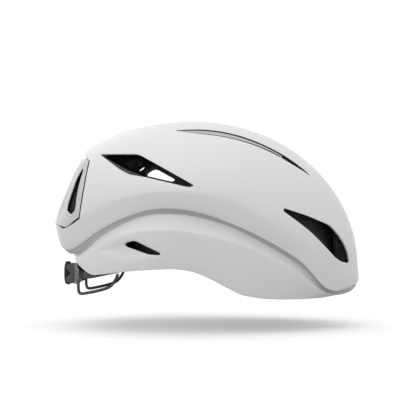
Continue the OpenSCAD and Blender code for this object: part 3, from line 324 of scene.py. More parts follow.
shell_white = moulded("shell_white", (0.8, 0.8, 0.8), (0.42, 0.52), grains=900, tone=0.02,
                      worn=(0.84, 0.84, 0.84))
frame_white = moulded("frame_white", (0.6, 0.6, 0.6), (0.42, 0.52), grains=1400, tone=0.03,
                      worn=(0.68, 0.68, 0.68))
# This grey also serves as painted shade on the band in the lip's hollow.
tray_grey = moulded("tray_grey", (0.5, 0.5, 0.5), (0.45, 0.55), grains=1800)
cradle_plastic = moulded("cradle_plastic", (0.055, 0.055, 0.058), (0.38, 0.5), grains=3000,
                         depth=0.00003, tone=0.1, worn=(0.12, 0.12, 0.125))
gear_plastic = moulded("gear_plastic", (0.02, 0.02, 0.021), (0.3, 0.4), grains=3500)
# This black also serves as painted shade in the gaps beside the crown slots' bars.
grip_rubber = moulded("grip_rubber", (0.014, 0.014, 0.014), (0.7, 0.85), grains=4200,
                      depth=0.00005, tone=0.2, worn=(0.03, 0.03, 0.03))
tether_rubber = moulded("tether_rubber", (0.02, 0.02, 0.02), (0.6, 0.75), grains=2600,
                        depth=0.00004)
screw_steel = moulded("screw_steel", (0.12, 0.12, 0.12), (0.3, 0.42), grains=6000, tone=0.15,
                      worn=(0.3, 0.3, 0.3), Metallic=1.0)


# %% Foam, cloth and webbing
def foam_finish():
    """Black bead foam: fused beads for tone and bumps."""
    made, tree, shade = material("foam")
    cover(tree, shade, node(tree, "ShaderNodeGroup", node_tree=fused_beads), 0.0002)
    return made


def brushed_cloth(name, colour, loops, depth, sheen):
    """Knitted cloth with a soft nap: small cells as loops of yarn, and a sheen on the shader."""
    made, tree, shade = material(name, Sheen_Weight=sheen, Sheen_Roughness=0.5)
    lighter = [2.2 * c for c in colour]
    knit = node(tree, "ShaderNodeGroup", node_tree=fused_beads, Dark=(*colour, 1),
                Light=(*lighter, 1), Beads_per_Metre=loops, Roughness_Low=0.8,
                Roughness_High=0.95)
    cover(tree, shade, knit, depth)
    return made


def webbing_finish():
    """Woven webbing: the weave gives tone and bumps."""
    made, tree, shade = material("webbing", Roughness=0.75, Sheen_Weight=0.2)
    cover(tree, shade, node(tree, "ShaderNodeGroup", node_tree=plain_weave), 0.00025)
    return made


foam = foam_finish()
pad_cloth = brushed_cloth("pad_cloth", (0.02, 0.02, 0.023), 1100, 0.0003, 0.3)
hook_discs = brushed_cloth("hook_discs", (0.01, 0.01, 0.01), 1500, 0.0004, 0.1)
webbing = webbing_finish()
print("finishes:", ", ".join(m.name for m in bpy.data.materials))

# %% [markdown]
# ## The form of the shell
# The shell is one smooth dome over an egg-shaped plan, with bands below its widest line, the
# crease. A sculptor would push clay; here each line that runs round the helmet is a rail, a list
# of heights over the length, and the dome is a formula between the crease and the crown. So any
# point of the surface can be asked for, at any fineness, and the vents are cut exactly.

# %% Rails: heights of the lines round the shell
half_width, nose, tail, crown_height = 105.5, 135.5, -154.0, 128.4
plan_middle = -20.0
power_ahead, power_behind, dome_power = 2.0, 1.8, 0.6
middle_ahead, middle_behind = 0.5, 0.36
shell_heart = np.array([-15.0, 0.0, 25.0])
crease_z = np.array([
    [-154, 33.5], [-148, 29], [-142, 27], [-132, 31.5], [-122, 38.5], [-108, 46.5], [-90, 53],
    [-60, 59.3], [-37, 60], [-15, 58], [12, 52.5], [38, 39.5], [65, 23.5], [93, 5], [113, -6.5],
    [129, -10.3], [135.5, -10.5]])
lip_top_z = np.array([
    [-148.5, 10.6], [-142, 7.5], [-134, 8], [-122, 15], [-109, 24], [-86, 36], [-59, 44.6],
    [-37, 45.3], [-15, 41.8], [12, 32.8], [38, 21], [65, 5.5], [79, -5], [94, -21.5],
    [100, -26.5], [106, -29], [114, -29.3], [124, -27.5], [132, -24.5], [136.3, -22]])
lip_edge_z = np.array([
    [-143.5, 5.8], [-136, 3.3], [-126, 6], [-105, 22], [-77, 36], [-59, 40.6], [-37, 41.2],
    [-15, 38], [12, 29.8], [38, 17.3], [66, 1.2], [80, -9.4], [94, -25], [102, -30.5],
    [108, -33], [114, -33.6], [124, -32], [131, -28.6], [134, -25.4]])
swage_z = np.array([
    [-134, -0.5], [-119, 5], [-105, 14.5], [-86, 22], [-72, 25.4], [-59, 26.8], [-37, 26.6],
    [-15, 23.2], [12, 16.6], [29, 10.6], [47, 2.4], [65, -8], [80, -18], [94, -28.5],
    [109, -33.4], [124, -31.9], [131.5, -27.4]])
rim_z = np.array([
    [-131.5, -3], [-121, -9.7], [-116, -12.7], [-111, -14.2], [-106, -13.8], [-81, -10.4],
    [-59, -8.6], [-41, -7.8], [-31, -8.4], [-20, -10.6], [-9.5, -14.8], [1, -20], [12, -26],
    [22, -30.6], [33, -33.2], [49, -35.1], [75, -35.8], [94, -35.4], [109, -34],
    [124, -32.2], [131, -27.7]])
rails = (crease_z, lip_top_z, lip_edge_z, swage_z, rim_z)
print("rails:", sum(len(rail) for rail in rails), "points")


# %% Small helpers for numbers and rows of points
def mix(a, b, t):
    """The point at share t of the way from a to b."""
    return a + (b - a) * t


def soft_step(a, b, x):
    """0 before a, 1 after b, and a smooth rise between them."""
    t = np.clip((x - a) / (b - a), 0, 1)
    return t * t * (3 - 2 * t)


def unit(rows):
    """Each row at length 1."""
    return rows / np.linalg.norm(rows, axis=-1, keepdims=True)


def polar(r, t):
    """Flat points at radius r and angle t."""
    return np.stack([r * np.cos(t), r * np.sin(t)], -1)


def whole_turn(count):
    """Angles of a whole turn in even steps."""
    return np.arange(count) * 2 * np.pi / count


# %% Smooth heights along a rail
def heights(rail, x):
    """Cubic pieces through the rail's points, each with the slope of its neighbours' chord."""
    px, pz = rail[:, 0], rail[:, 1]
    slope = np.empty(len(px))
    slope[1:-1] = (pz[2:] - pz[:-2]) / (px[2:] - px[:-2])
    slope[0] = (pz[1] - pz[0]) / (px[1] - px[0])
    slope[-1] = (pz[-1] - pz[-2]) / (px[-1] - px[-2])
    i = np.clip(np.searchsorted(px, x, side="right") - 1, 0, len(px) - 2)
    w = px[i + 1] - px[i]
    t = np.clip((x - px[i]) / w, 0, 1)
    return ((2 * t**3 - 3 * t**2 + 1) * pz[i] + (t**3 - 2 * t**2 + t) * w * slope[i]
            + (3 * t**2 - 2 * t**3) * pz[i + 1] + (t**3 - t**2) * w * slope[i + 1])


def rail_height(rail, u):
    """Height at share u of the length from the plan's middle: 1 at the nose, -1 at the tail."""
    return heights(rail, mix(plan_middle, np.where(u >= 0, rail[-1, 0], rail[0, 0]), np.abs(u)))


def rail_points(rail, t, side_in, nose_in, tail_in, tail_power=power_behind):
    """A rail at angles t: an oval of power 2 ahead and tail_power behind, drawn in by a distance
    at the sides, the nose and the tail."""
    power = np.where(np.cos(t) >= 0, power_ahead, tail_power)
    reach = np.where(np.cos(t) >= 0, nose - plan_middle - nose_in, plan_middle - tail - tail_in)
    c = np.sign(np.cos(t)) * np.abs(np.cos(t)) ** (2 / power)
    s = np.sign(np.sin(t)) * np.abs(np.sin(t)) ** (2 / power)
    return np.stack(
        [plan_middle + reach * c, (half_width - side_in) * s, rail_height(rail, c)], -1)


def inward(points, distance):
    """Points moved towards the heart of the shell by a distance."""
    away = points - shell_heart
    length = np.linalg.norm(away, axis=-1, keepdims=True)
    return points - away * (np.asarray(distance)[..., None] / length)


def crease(t):
    """The widest line of the helmet."""
    return rail_points(crease_z, t, side_in=0, nose_in=0, tail_in=0)


def lip_top(t):
    """Where the upper shell ends and its lip turns in."""
    return rail_points(lip_top_z, t, side_in=4, nose_in=-0.8, tail_in=5.5)


def lip_edge(t):
    """The lower edge of the lip."""
    return rail_points(lip_edge_z, t, side_in=7, nose_in=1.5, tail_in=10.5, tail_power=1.9)


def swage(t):
    """The ridge round the lower shell."""
    return rail_points(swage_z, t, side_in=4.5, nose_in=4, tail_in=20, tail_power=2.3)


def rim(t, rail=rim_z):
    """The lower edge of the helmet, or with another rail that of a layer inside it."""
    return rail_points(rail, t, side_in=11, nose_in=4.5, tail_in=21, tail_power=2.6)


# %% The dome above the crease
def plan_share(x):
    """Share of the reach from the plan's middle to x, and whether x lies ahead of it."""
    ahead = x >= plan_middle
    return np.clip((x - plan_middle) / np.where(ahead, nose - plan_middle, plan_middle - tail),
                   -1, 1), ahead


def half_width_at(x):
    """Half width of the plan: half_width (1 - u^p)^(1/p), p 2 ahead and 1.8 behind."""
    u, ahead = plan_share(x)
    power = np.where(ahead, power_ahead, power_behind)
    return half_width * (1 - np.abs(u) ** power) ** (1 / power)


def middle_height(x):
    """Height of the middle line: from the end of the crease up to the crown by (1 - u^2)^k."""
    u, ahead = plan_share(x)
    foot = np.where(ahead, crease_z[-1, 1], crease_z[0, 1])
    power = np.where(ahead, middle_ahead, middle_behind)
    return foot + (crown_height - foot) * (1 - u * u) ** power


def dome_z(x, y):
    """Height over a plan point: crease + (middle - crease)(1 - q^2)^0.6, q the share of width."""
    width = half_width_at(x)
    q = np.clip(np.abs(y) / np.maximum(width, 0.01), 0, 1)
    foot = rail_height(crease_z, plan_share(x)[0])
    return foot + (middle_height(x) - foot) * (1 - q * q) ** dome_power


def dome_y(x, z):
    """Half breadth of the dome at a length and height: the same formula turned round."""
    foot = rail_height(crease_z, plan_share(x)[0])
    f = np.clip((z - foot) / (middle_height(x) - foot), 0, 1)
    return half_width_at(x) * np.sqrt(1 - f ** (1 / dome_power))


# %% [markdown]
# ## A map of the shell
# The vents need a skin with clean, rounded holes. Cutting a solid with a boolean leaves knife
# edges, and long thin triangles that show in the light. Here the skin is laid out flat first: the
# crown is the middle of a disc, the crease its circle of radius 1, and the bands below lie
# outside it. Points fill the disc evenly, the vents' outlines are drawn among them, and a
# Delaunay net joins them all. What lies in a vent is left out before the net goes into space.


# %% Flat map to space and back
lip_radius = 1.15
band_bulge = 2.0


def shell_point(flat):
    """The upper shell over map points: radius r is a quarter turn from crown to crease, and from
    1 to 1.15 the band from the crease down to the lip, bulged by 0.5."""
    r = np.hypot(flat[:, 0], flat[:, 1])
    t = np.arctan2(flat[:, 1], flat[:, 0])
    s = np.sin(np.minimum(r, 1) * np.pi / 2)
    oval = crease(t)
    x = plan_middle + (oval[:, 0] - plan_middle) * s
    y = oval[:, 1] * s
    dome = np.stack([x, y, dome_z(x, y)], -1)
    w = np.clip((r - 1) / (lip_radius - 1), 0, 1)
    band = inward(mix(crease(t), lip_top(t), w[:, None]), -band_bulge * w * (1 - w))
    return np.where((r > 1)[:, None], band, dome)


def map_point(x, y):
    """The map point of a plan point: radius asin(s) over a quarter turn, where s and the angle
    follow from the oval's powers."""
    u, ahead = plan_share(x)
    v = y / half_width
    power = np.where(ahead, power_ahead, power_behind)
    a, b = np.abs(u) ** power, np.abs(v) ** power
    s = np.clip((a + b) ** (1 / power), 0, 1)
    t = np.arctan2(np.sign(v) * np.sqrt(b), np.sign(u) * np.sqrt(a))
    return polar(np.arcsin(s) * 2 / np.pi, t)


# %% Outlines with rounded corners, evenly stepped
def rounded(corners, radius, step):
    """A closed outline: each corner becomes a parabola that starts up to radius before it and
    ends as far after it; then points are set along it a step apart."""
    p = np.asarray(corners, float)
    back, on = np.roll(p, 1, 0) - p, np.roll(p, -1, 0) - p
    lb, lo = np.linalg.norm(back, axis=1), np.linalg.norm(on, axis=1)
    reach = np.minimum(radius, 0.48 * np.minimum(lb, lo))[:, None]
    start, end = p + back / lb[:, None] * reach, p + on / lo[:, None] * reach
    w = np.linspace(0, 1, 9)[None, :, None]
    arcs = (1 - w) ** 2 * start[:, None] + 2 * w * (1 - w) * p[:, None] + w**2 * end[:, None]
    return evenly(arcs.reshape(-1, p.shape[1]), step, closed=True)


def distances(points):
    """How far each point lies along the line through them all."""
    return np.concatenate([[0], np.cumsum(np.linalg.norm(np.diff(points, axis=0), axis=1))])


def evenly(points, step, closed=False):
    """Points a step apart along a line through the given ones."""
    if closed:
        points = np.concatenate([points, points[:1]])
    gone = distances(points)
    count = max(8, int(round(gone[-1] / step)))
    at = np.linspace(0, gone[-1], count + 1)
    made = np.stack([np.interp(at, gone, points[:, k]) for k in range(points.shape[1])], -1)
    return made[:-1] if closed else made


def twice_area(p):
    """Twice the area in a closed outline, below 0 where it runs clockwise."""
    return np.sum(p[:, 0] * np.roll(p[:, 1], -1) - np.roll(p[:, 0], -1) * p[:, 1])


def outline_sides(outline):
    """The direction out of a closed outline at each of its points, a quarter turn from its run."""
    run = np.roll(outline, -1, 0) - np.roll(outline, 1, 0)
    return unit(np.stack([run[:, 1], -run[:, 0]], -1)) * np.sign(twice_area(outline))


def inside(points, outline):
    """Which points lie in a closed outline: a line to the right crosses it an odd number of
    times."""
    a, b = outline, np.roll(outline, -1, 0)
    x, y = points[:, None, 0], points[:, None, 1]
    spans = (a[None, :, 1] > y) != (b[None, :, 1] > y)
    rise = b[:, 1] - a[:, 1]
    rise = np.where(rise == 0, 1e-12, rise)
    at = a[:, 0] + (y - a[:, 1]) * (b[:, 0] - a[:, 0]) / rise
    return np.sum(spans & (x < at), axis=1) % 2 == 1


# %% A net of triangles round the holes
def ring_net(radii, spacing, stretch):
    """Map points on circles, as many on each as its length asks for, every second circle turned
    by half a step."""
    rings = []
    for k, r in enumerate(radii):
        count = max(6, int(round(2 * np.pi * stretch(r) / spacing)))
        t = (np.arange(count) + 0.5 * (k % 2)) * 2 * np.pi / count
        rings.append(polar(r, t))
    return np.concatenate(rings)


def clear_of(points, outline, gap):
    """Points that lie outside an outline and at least a gap from every point of it."""
    keep = ~inside(points, outline)
    near = np.min(np.hypot(points[:, None, 0] - outline[None, :, 0],
                           points[:, None, 1] - outline[None, :, 1]), axis=1)
    return points[keep & (near > gap)]


def net(scattered, holes, edge_ring, inner_ring=None):
    """Joins scattered points and hole outlines by a Delaunay net, and leaves out the holes. Gives
    the map points, the triangles and each hole's and edge's indices, in the order given."""
    loops = [*holes, edge_ring] + ([] if inner_ring is None else [inner_ring])
    points = np.concatenate([*loops, scattered])
    starts = np.cumsum([0] + [len(loop) for loop in loops])
    spans = [np.arange(a, b) for a, b in zip(starts[:-1], starts[1:])]
    edges = np.concatenate([np.stack([s, np.roll(s, -1)], 1) for s in spans])
    found = delaunay_2d_cdt([Vector(p) for p in points.tolist()], edges.tolist(), [], 0, 1e-9)
    if len(found[0]) != len(points):
        raise ValueError(f"{len(points) - len(found[0])} map points fell together")
    triangles = np.array(found[2])
    centres = points[triangles].mean(axis=1)
    keep = np.ones(len(triangles), bool)
    for hole in holes if inner_ring is None else [*holes, inner_ring]:
        keep &= ~inside(centres, hole)
    return points, triangles[keep], spans


# %% [markdown]
# ## From skins to walls
# A sheet of plastic has two faces and an edge between them, and the edge is what the eye reads:
# light catches its round. The same net gives the outer and the inner skin, and along every hole
# and along the lip a profile is carried from the one to the other, which rounds the edge over and
# gives it depth.


# %% Walls and meshes
def one_way(loop, points, clockwise):
    """A loop of indices, turned so that it runs clockwise or the other way on the map."""
    ids = np.arange(len(loop))
    return ids if (twice_area(points[loop]) < 0) == clockwise else ids[::-1]


def walled(outer, inner, triangles, edges):
    """Closes an outer and an inner skin of one net. Each edge is (loop, rows): rows of points
    that carry a profile along the loop from the outer skin to the inner one."""
    points, faces, count = [outer, inner], [], 2 * len(outer)
    for loop, rows in edges:
        lines = [loop]
        for row in rows:
            lines.append(count + np.arange(len(loop)))
            points.append(row)
            count += len(row)
        lines.append(loop + len(outer))
        for a, b in zip(lines[:-1], lines[1:]):
            faces.append(np.stack([np.roll(a, -1), a, b, np.roll(b, -1)], 1))
    skins = triangles.tolist() + (triangles[:, ::-1] + len(outer)).tolist()
    return np.concatenate(points), skins + np.concatenate(faces).tolist()


def ring_quads(rows, cols, closed=False):
    """Quads between rings of points; where closed, the last ring joins the first."""
    ids = np.arange(rows * cols).reshape(rows, cols)
    a, b = (ids, np.roll(ids, -1, 0)) if closed else (ids[:-1], ids[1:])
    return np.stack([a, b, np.roll(b, -1, 1), np.roll(a, -1, 1)], -1).reshape(-1, 4)


def capped(rings):
    """The skin over rings of points, with a flat face at each end."""
    rows, cols = rings.shape[:2]
    first = np.arange(cols)
    ends = [first.tolist(), (first[::-1] + (rows - 1) * cols).tolist()]
    return rings.reshape(-1, 3), ring_quads(rows, cols).tolist() + ends


def turned_over(faces):
    """The same faces, seen from their other side."""
    return [face[::-1] for face in faces]


def on_side(side, points, faces):
    """A form on the left, or where side is -1 its mirror image on the right."""
    return (points, faces) if side > 0 else (points * [1, -1, 1], turned_over(faces))


def dress(made, finish, body, stands_for, sharp=None):
    """Smooths a piece except at sharp angles, gives it its finish and slot, lets it ride on its
    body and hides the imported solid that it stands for."""
    mesh = made.data
    mesh.polygons.foreach_set("use_smooth", np.ones(len(mesh.polygons), bool))
    if sharp is not None:
        mesh.set_sharp_from_angle(angle=math.radians(sharp))
    mesh.materials.clear()
    mesh.materials.append(finish)
    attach(made, body)
    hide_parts(stands_for)
    print(made.name, len(mesh.vertices), "points", len(mesh.polygons), "faces")


def placed(name, points, faces):
    """A mesh object in metres from points in millimetres."""
    mesh = bpy.data.meshes.new(name)
    mesh.from_pydata((np.asarray(points) * MM).tolist(), [], faces)
    made = bpy.data.objects.new(name, mesh)
    scene.collection.objects.link(made)
    return made


def piece(name, points, faces, finish, body, stands_for, sharp):
    """A dressed piece from points in millimetres."""
    dress(placed(name, points, faces), finish, body, stands_for, sharp)


def surface_normal(surface, flat):
    """Outward normals of a mapped surface, from a small step each way on the map."""
    h = 1e-4
    da = surface(flat + [h, 0]) - surface(flat - [h, 0])
    db = surface(flat + [0, h]) - surface(flat - [0, h])
    return unit(np.cross(da, db))


# %% [markdown]
# ## The upper shell
# On the real helmet this is a vacuum-formed or moulded sheet with a diamond vent and a long front
# vent in each side, two slots beside the crown, and a turned-in lip that overhangs the lower
# shell. Each vent edge is rolled: generously below, where the photograph shows a bright line, and
# tightly above.

# %% Vent outlines
diamond = np.array([
    [-107.4, 95.7], [-72.3, 94.7], [-68.8, 93.7], [-19.3, 65.6], [-25, 64.4], [-62.6, 73.4],
    [-78, 76.1], [-86.8, 80.7]])
front_vent = np.array([
    [59.6, 46.2], [82, 39.1], [102.9, 30.7], [107, 27.4], [113.7, 19.8], [119.1, 11.7],
    [121.8, 4.7], [123.6, -5.6], [114.4, -3.1], [108.8, 0.6], [103.5, 6.2], [93.7, 16.1],
    [84.2, 25.2], [73.5, 33.4], [59.6, 43.4]])
slot_path = np.array([[-37, 51.4, 0.15], [-17, 54.4, 0.9], [10, 54, 1], [36, 51, 0.8],
                      [54, 48.2, 0.66], [70, 44.9, 0.53], [86, 39.6, 0.12]])
slot_half = 5.5
seam_top, seam_middle, seam_foot = [-117.8, 90.4], [-121.4, 64], [-125.4, 37.2]
edge_top, edge_foot = [-124.5, 101.9], [-122.6, 93.6]
wall = 1.8


def through(path, t):
    """Smooth points on a path of knots: cubic pieces whose slope at a knot is half the chord of
    its neighbours."""
    i = np.clip(np.floor(t).astype(int), 0, len(path) - 2)
    w = (t - i)[:, None]
    a, b = path[np.maximum(i - 1, 0)], path[i]
    c, d = path[i + 1], path[np.minimum(i + 2, len(path) - 1)]
    return (b + w * (c - a) / 2 + w**2 * (a - 2.5 * b + 2 * c - d / 2)
            + w**3 * (1.5 * (b - c) + (d - a) / 2))


def slot_outline(grow):
    """Plan outline of a crown slot: its path, as wide each way as its share, with round ends."""
    mid = through(slot_path, np.linspace(0, len(slot_path) - 1, 60))
    run = unit(np.gradient(mid[:, :2], axis=0))
    side = np.stack([-run[:, 1], run[:, 0]], -1) * (slot_half * mid[:, 2:] + grow)
    turn = np.linspace(0, np.pi, 9)[1:-1, None]
    end = slot_half * slot_path[0, 2] + grow
    nose_cap = mid[-1, :2] + end * (np.cos(turn) * -side[-1] / np.linalg.norm(side[-1])
                                    + np.sin(turn) * run[-1])
    tail_cap = mid[0, :2] + end * (np.cos(turn) * side[0] / np.linalg.norm(side[0])
                                   - np.sin(turn) * run[0])
    return np.concatenate([mid[:, :2] - side, nose_cap, (mid[:, :2] + side)[::-1], tail_cap])


def side_loops(corners, radius, step, roll_low, roll_high):
    """A side vent's edge, and the line outside it where its roll starts, in plan. The roll is
    wider where the edge faces up than where it faces down."""
    edge = rounded(corners, radius, step)
    out = outline_sides(edge)
    low = soft_step(0, 1, 0.5 - out[:, 1:2])
    start = edge + out * mix(roll_high, roll_low, low)
    return [np.stack([p[:, 0], dome_y(p[:, 0], p[:, 1])], -1) for p in (edge, start)]


def plan_loops(step, roll):
    """A crown slot's edge and the start of its roll, in plan."""
    edge = evenly(slot_outline(0), step, closed=True)
    return edge, edge + outline_sides(edge) * roll


def seam_loops(step, roll):
    """The rear edge of the shell beside and above the vent frame, from the right foot over the
    middle to the left foot, the line ahead of it where its roll starts, and the heights."""
    low = evenly(np.array([seam_foot, seam_middle, seam_top, edge_foot]), step)
    y = np.linspace(dome_y(*np.array(edge_foot)), 0, 24)[1:]
    x = np.full(len(y), edge_top[0] + 0.5)
    for _ in range(6):
        z = dome_z(x, y)
        x = np.interp(z, [edge_foot[1], edge_top[1]], [edge_foot[0], edge_top[0]])
    edge = np.concatenate([np.stack([low[:, 0], dome_y(low[:, 0], low[:, 1])], -1),
                           np.stack([x, y], -1)])
    z = np.concatenate([low[:, 1], z])
    start_x = edge[:, 0] + roll
    start = np.stack([start_x, np.where(z > edge_foot[1], edge[:, 1], dome_y(start_x, z))], -1)
    both = [np.concatenate([p * [1, -1], p[-2::-1]]) for p in (edge, start)]
    return (*both, np.concatenate([z, z[-2::-1]]))


# %% The upper skin's net
step = 1.5
both_sides = []
for loops in (side_loops(diamond, 2.5, step, roll_low=3.2, roll_high=0.6),
              side_loops(front_vent, 4, step, roll_low=1.6, roll_high=0.5),
              plan_loops(step, roll=0.25)):
    both_sides += [loops, tuple(p[::-1] * [1, -1] for p in loops)]
seam_edge, seam_start, seam_z = seam_loops(2.0, roll=0.8)
seam_map = map_point(seam_start[:, 0], seam_start[:, 1])
seam_angle = np.arctan2(seam_map[:, 1], seam_map[:, 0])
behind = np.linspace(seam_angle[-1], seam_angle[0] + 2 * np.pi, 120)
arc = polar(1, behind)
tail_hole = np.concatenate([seam_map, arc])
holes = [map_point(start[:, 0], start[:, 1]) for _, start in both_sides] + [tail_hole]
radii = np.concatenate([np.linspace(0.02, 0.97, 62), [0.985, 0.994, 1.0, 1.006],
                        np.linspace(1.02, 1.13, 6)])
skin_spacing, mean_reach = 2.4, 118
scattered = ring_net(radii, skin_spacing, lambda r: mean_reach * math.sin(min(r, 1) * math.pi / 2))
for hole in holes:
    scattered = clear_of(scattered, hole, 0.008)
lip_angles = whole_turn(480)
flat, triangles, spans = net(scattered, holes, polar(lip_radius, lip_angles))
print("upper skin:", len(flat), "points", len(triangles), "triangles")

# %% A rolled edge
roll_under, roll_inset = 0.2, 0.4


def rolled(start, edge, into, deep):
    """Rows of a profile: from the start a parabola whose corner lies on the edge, so that from
    the side the opening is as drawn, then a wall into the shell, and an inset back under it."""
    across = edge - start
    size = np.linalg.norm(across, axis=1, keepdims=True)
    end = edge + size * into
    rows = [(1 - w) ** 2 * start + 2 * w * (1 - w) * edge + w * w * end
            for w in (0.15, 0.32, 0.5, 0.68, 0.85, 1.0)]
    rows += [rows[-1] + w * deep * into for w in (0.5, 1.0)]
    return rows + [rows[-1] - roll_inset * across / np.maximum(size, 1e-6) + roll_under * into]


# %% The upper shell's skins and edges
side_vents = 4
lip_wall = 3.0
slot_wall = 0.5
vent_deep, slot_deep = 1.6, 0.1
outer = shell_point(flat)
radius = np.hypot(flat[:, 0], flat[:, 1])
inner = inward(outer, np.interp(radius, [0, 1, lip_radius], [wall, wall, lip_wall]))
edges = []
for k, ((edge, _), span) in enumerate(zip(both_sides, spans)):
    way = one_way(span, flat, True)
    loop = span[way]
    rim_line = np.stack([edge[way, 0], edge[way, 1], dome_z(edge[way, 0], edge[way, 1])], -1)
    if k < side_vents:
        into, deep = [0, -np.sign(edge[0, 1]), 0], vent_deep
    else:
        into, deep = [0, 0, -1], slot_deep
        inner[loop] = inward(outer[loop], np.full(len(loop), slot_wall))
    edges.append((loop, rolled(outer[loop], rim_line, np.array([into]), deep)))

# %% The rear edge: a rolled seam beside the frame, and a blunt edge over it
span = spans[len(both_sides)]
way = one_way(span, flat, True)
loop = span[way]
back_z = dome_z(seam_edge[:, 0], seam_edge[:, 1])
back_line = np.concatenate([np.column_stack([seam_edge, back_z]), outer[span[len(seam_edge):]]])
normal = surface_normal(shell_point, flat[span])
on_seam = np.concatenate([np.ones(len(seam_edge)), np.zeros(len(arc))])[:, None]
across = back_line - outer[span]
drop = np.linalg.norm(across, axis=1, keepdims=True) * normal
rolls = [outer[span] + np.sin(a) * across - (1 - np.cos(a)) * drop
         for a in np.radians([30, 60, 90])]
ledge = [mix(outer[span], inner[span], w) for w in (0.1, 0.2, 0.3)]
rows = [mix(b, a, on_seam) for a, b in zip(rolls, ledge)]
blunt = np.concatenate([np.clip(seam_z - edge_foot[1], 0, None), np.zeros(len(arc))])[:, None]
blunt_above, blunt_deep = 0.3, 2.2
down = np.array([[(edge_foot[0] - edge_top[0]) / (edge_top[1] - edge_foot[1]), 0, -1]])
foot = rows[-1] + down * np.maximum(0, blunt - blunt_above)
ahead = foot + np.array([[blunt_deep, 0, 0]]) * np.clip(blunt / 2, 0, 1)
side_in = mix(foot, inner[span], 0.4)
not_blunt = np.clip(1 - blunt, 0, 1)
rows += [mix(foot, side_in, not_blunt), mix(ahead, side_in, not_blunt)]
edges.append((loop, [row[way] for row in rows]))

# %% The lip: a hollow chamfer that faces down, so that it reads as a dark line, turned in below
lip_hollow, lip_set_in = 2.6, 2.2
span = spans[len(both_sides) + 1]
way = one_way(span, flat, False)
loop, t = span[way], lip_angles[way]
top, low = lip_top(t), lip_edge(t)
face = unit(low - top)
under = inward(low, lip_wall)
turn = unit(under - low)
low = low + [0, lip_set_in, 0] * turn
rows = [mix(top, low, w) + lip_hollow * w * (1 - w) ** 1.5 * turn
        for w in (0.04, 0.12, 0.25, 0.4, 0.6, 0.8, 0.94)]
rows += [low + 0.15 * turn + 0.1 * face, low + 0.6 * turn + 0.15 * face, under]
edges.append((loop, rows))
lip_rows = np.stack(rows[:9])
points, faces = walled(outer, inner, triangles, edges)
piece("upper_shell_skin", points, faces, shell_white, "shell", "upper_shell", 50)

# %% Painted shade: a grey band in the lip's hollow, a little proud of it and let into it behind
shade_band_proud, shade_band_sunk = 0.12, 0.4
rings = np.concatenate([lip_rows - shade_band_proud * turn, lip_rows[::-1] + shade_band_sunk * turn])
faces = ring_quads(*rings.shape[:2], closed=True).tolist()
piece("lip_shade_band", rings.reshape(-1, 3), faces, tray_grey, "shell", "upper_shell", 50)

# %% [markdown]
# ## The lower shell
# The lower shell starts behind the lip, hollows out under it, flares to a swage and falls to the
# rim, with one small slot behind the ear in a shallow scoop. It is mapped like the upper one, but
# on a ring: radius 1 is its hidden neck, 1.5 the swage and 2 the rim.


# %% The lower shell's surface
def hollow(points, corners, depth, width):
    """How deep a soft-edged hollow is at each point of the side view: it sinks over a width from
    the sides of a convex outline, given against the clock."""
    a = np.asarray(corners, float)
    along = np.roll(a, -1, 0) - a
    side = np.stack([-along[:, 1], along[:, 0]], -1) / np.linalg.norm(along, axis=1)[:, None]
    far = np.einsum("pkc,kc->pk", points[:, None, [0, 2]] - a[None], side).min(axis=1)
    return depth * soft_step(0, width, far)


neck_in, top_in = 3.4, 5.5
ear_scoop = [[-110, 6], [-82, -2.5], [-50, 1.5], [-45, 5.5], [-72, 20], [-86, 19], [-106, 11]]
scoop_deep, scoop_soft = 1.4, 8
cove_deep, flank_swell = 0.8, 0.6


def hidden_neck(t):
    """Where the lower shell leaves the lip, out of sight under it."""
    return inward(lip_edge(t), neck_in)


def hidden_top(t):
    """The upper end of the lower shell, behind the lip."""
    return inward(lip_top(t), top_in) + [0, 0, 1]


def lower_point(flat):
    """The lower shell over its map ring: a hollow from neck to swage, a swell from swage to rim,
    both 4 d w (1 - w) at share w for a depth d, and the scoop round the ear slot."""
    r = np.hypot(flat[:, 0], flat[:, 1])
    t = np.arctan2(flat[:, 1], flat[:, 0])
    neck, belt, foot = hidden_neck(t), swage(t), rim(t)
    up = np.clip((r - 1) * 2, 0, 1)[:, None]
    low = np.clip((r - 1.5) * 2, 0, 1)[:, None]
    cove = inward(mix(neck, belt, up), 4 * cove_deep * (up * (1 - up))[:, 0])
    flank = inward(mix(belt, foot, low), -4 * flank_swell * (low * (1 - low))[:, 0])
    line = np.where((r > 1.5)[:, None], flank, cove)
    return inward(line, hollow(line, ear_scoop, scoop_deep, scoop_soft))


def find_on(surface, target, axes, guesses):
    """Map points where a surface has given coordinates on two axes: the nearest guess, then
    Newton's steps with slopes taken over a small step."""
    seen = surface(guesses)[:, axes]
    far = np.linalg.norm(target[:, None] - seen[None], axis=2)
    flat = guesses[far.argmin(axis=1)].copy()
    h = 1e-4
    for _ in range(12):
        here = surface(flat)[:, axes]
        da = (surface(flat + [h, 0])[:, axes] - here) / h
        db = (surface(flat + [0, h])[:, axes] - here) / h
        det = da[:, 0] * db[:, 1] - da[:, 1] * db[:, 0]
        miss = target - here
        flat[:, 0] += (miss[:, 0] * db[:, 1] - miss[:, 1] * db[:, 0]) / det
        flat[:, 1] += (miss[:, 1] * da[:, 0] - miss[:, 0] * da[:, 1]) / det
    return flat


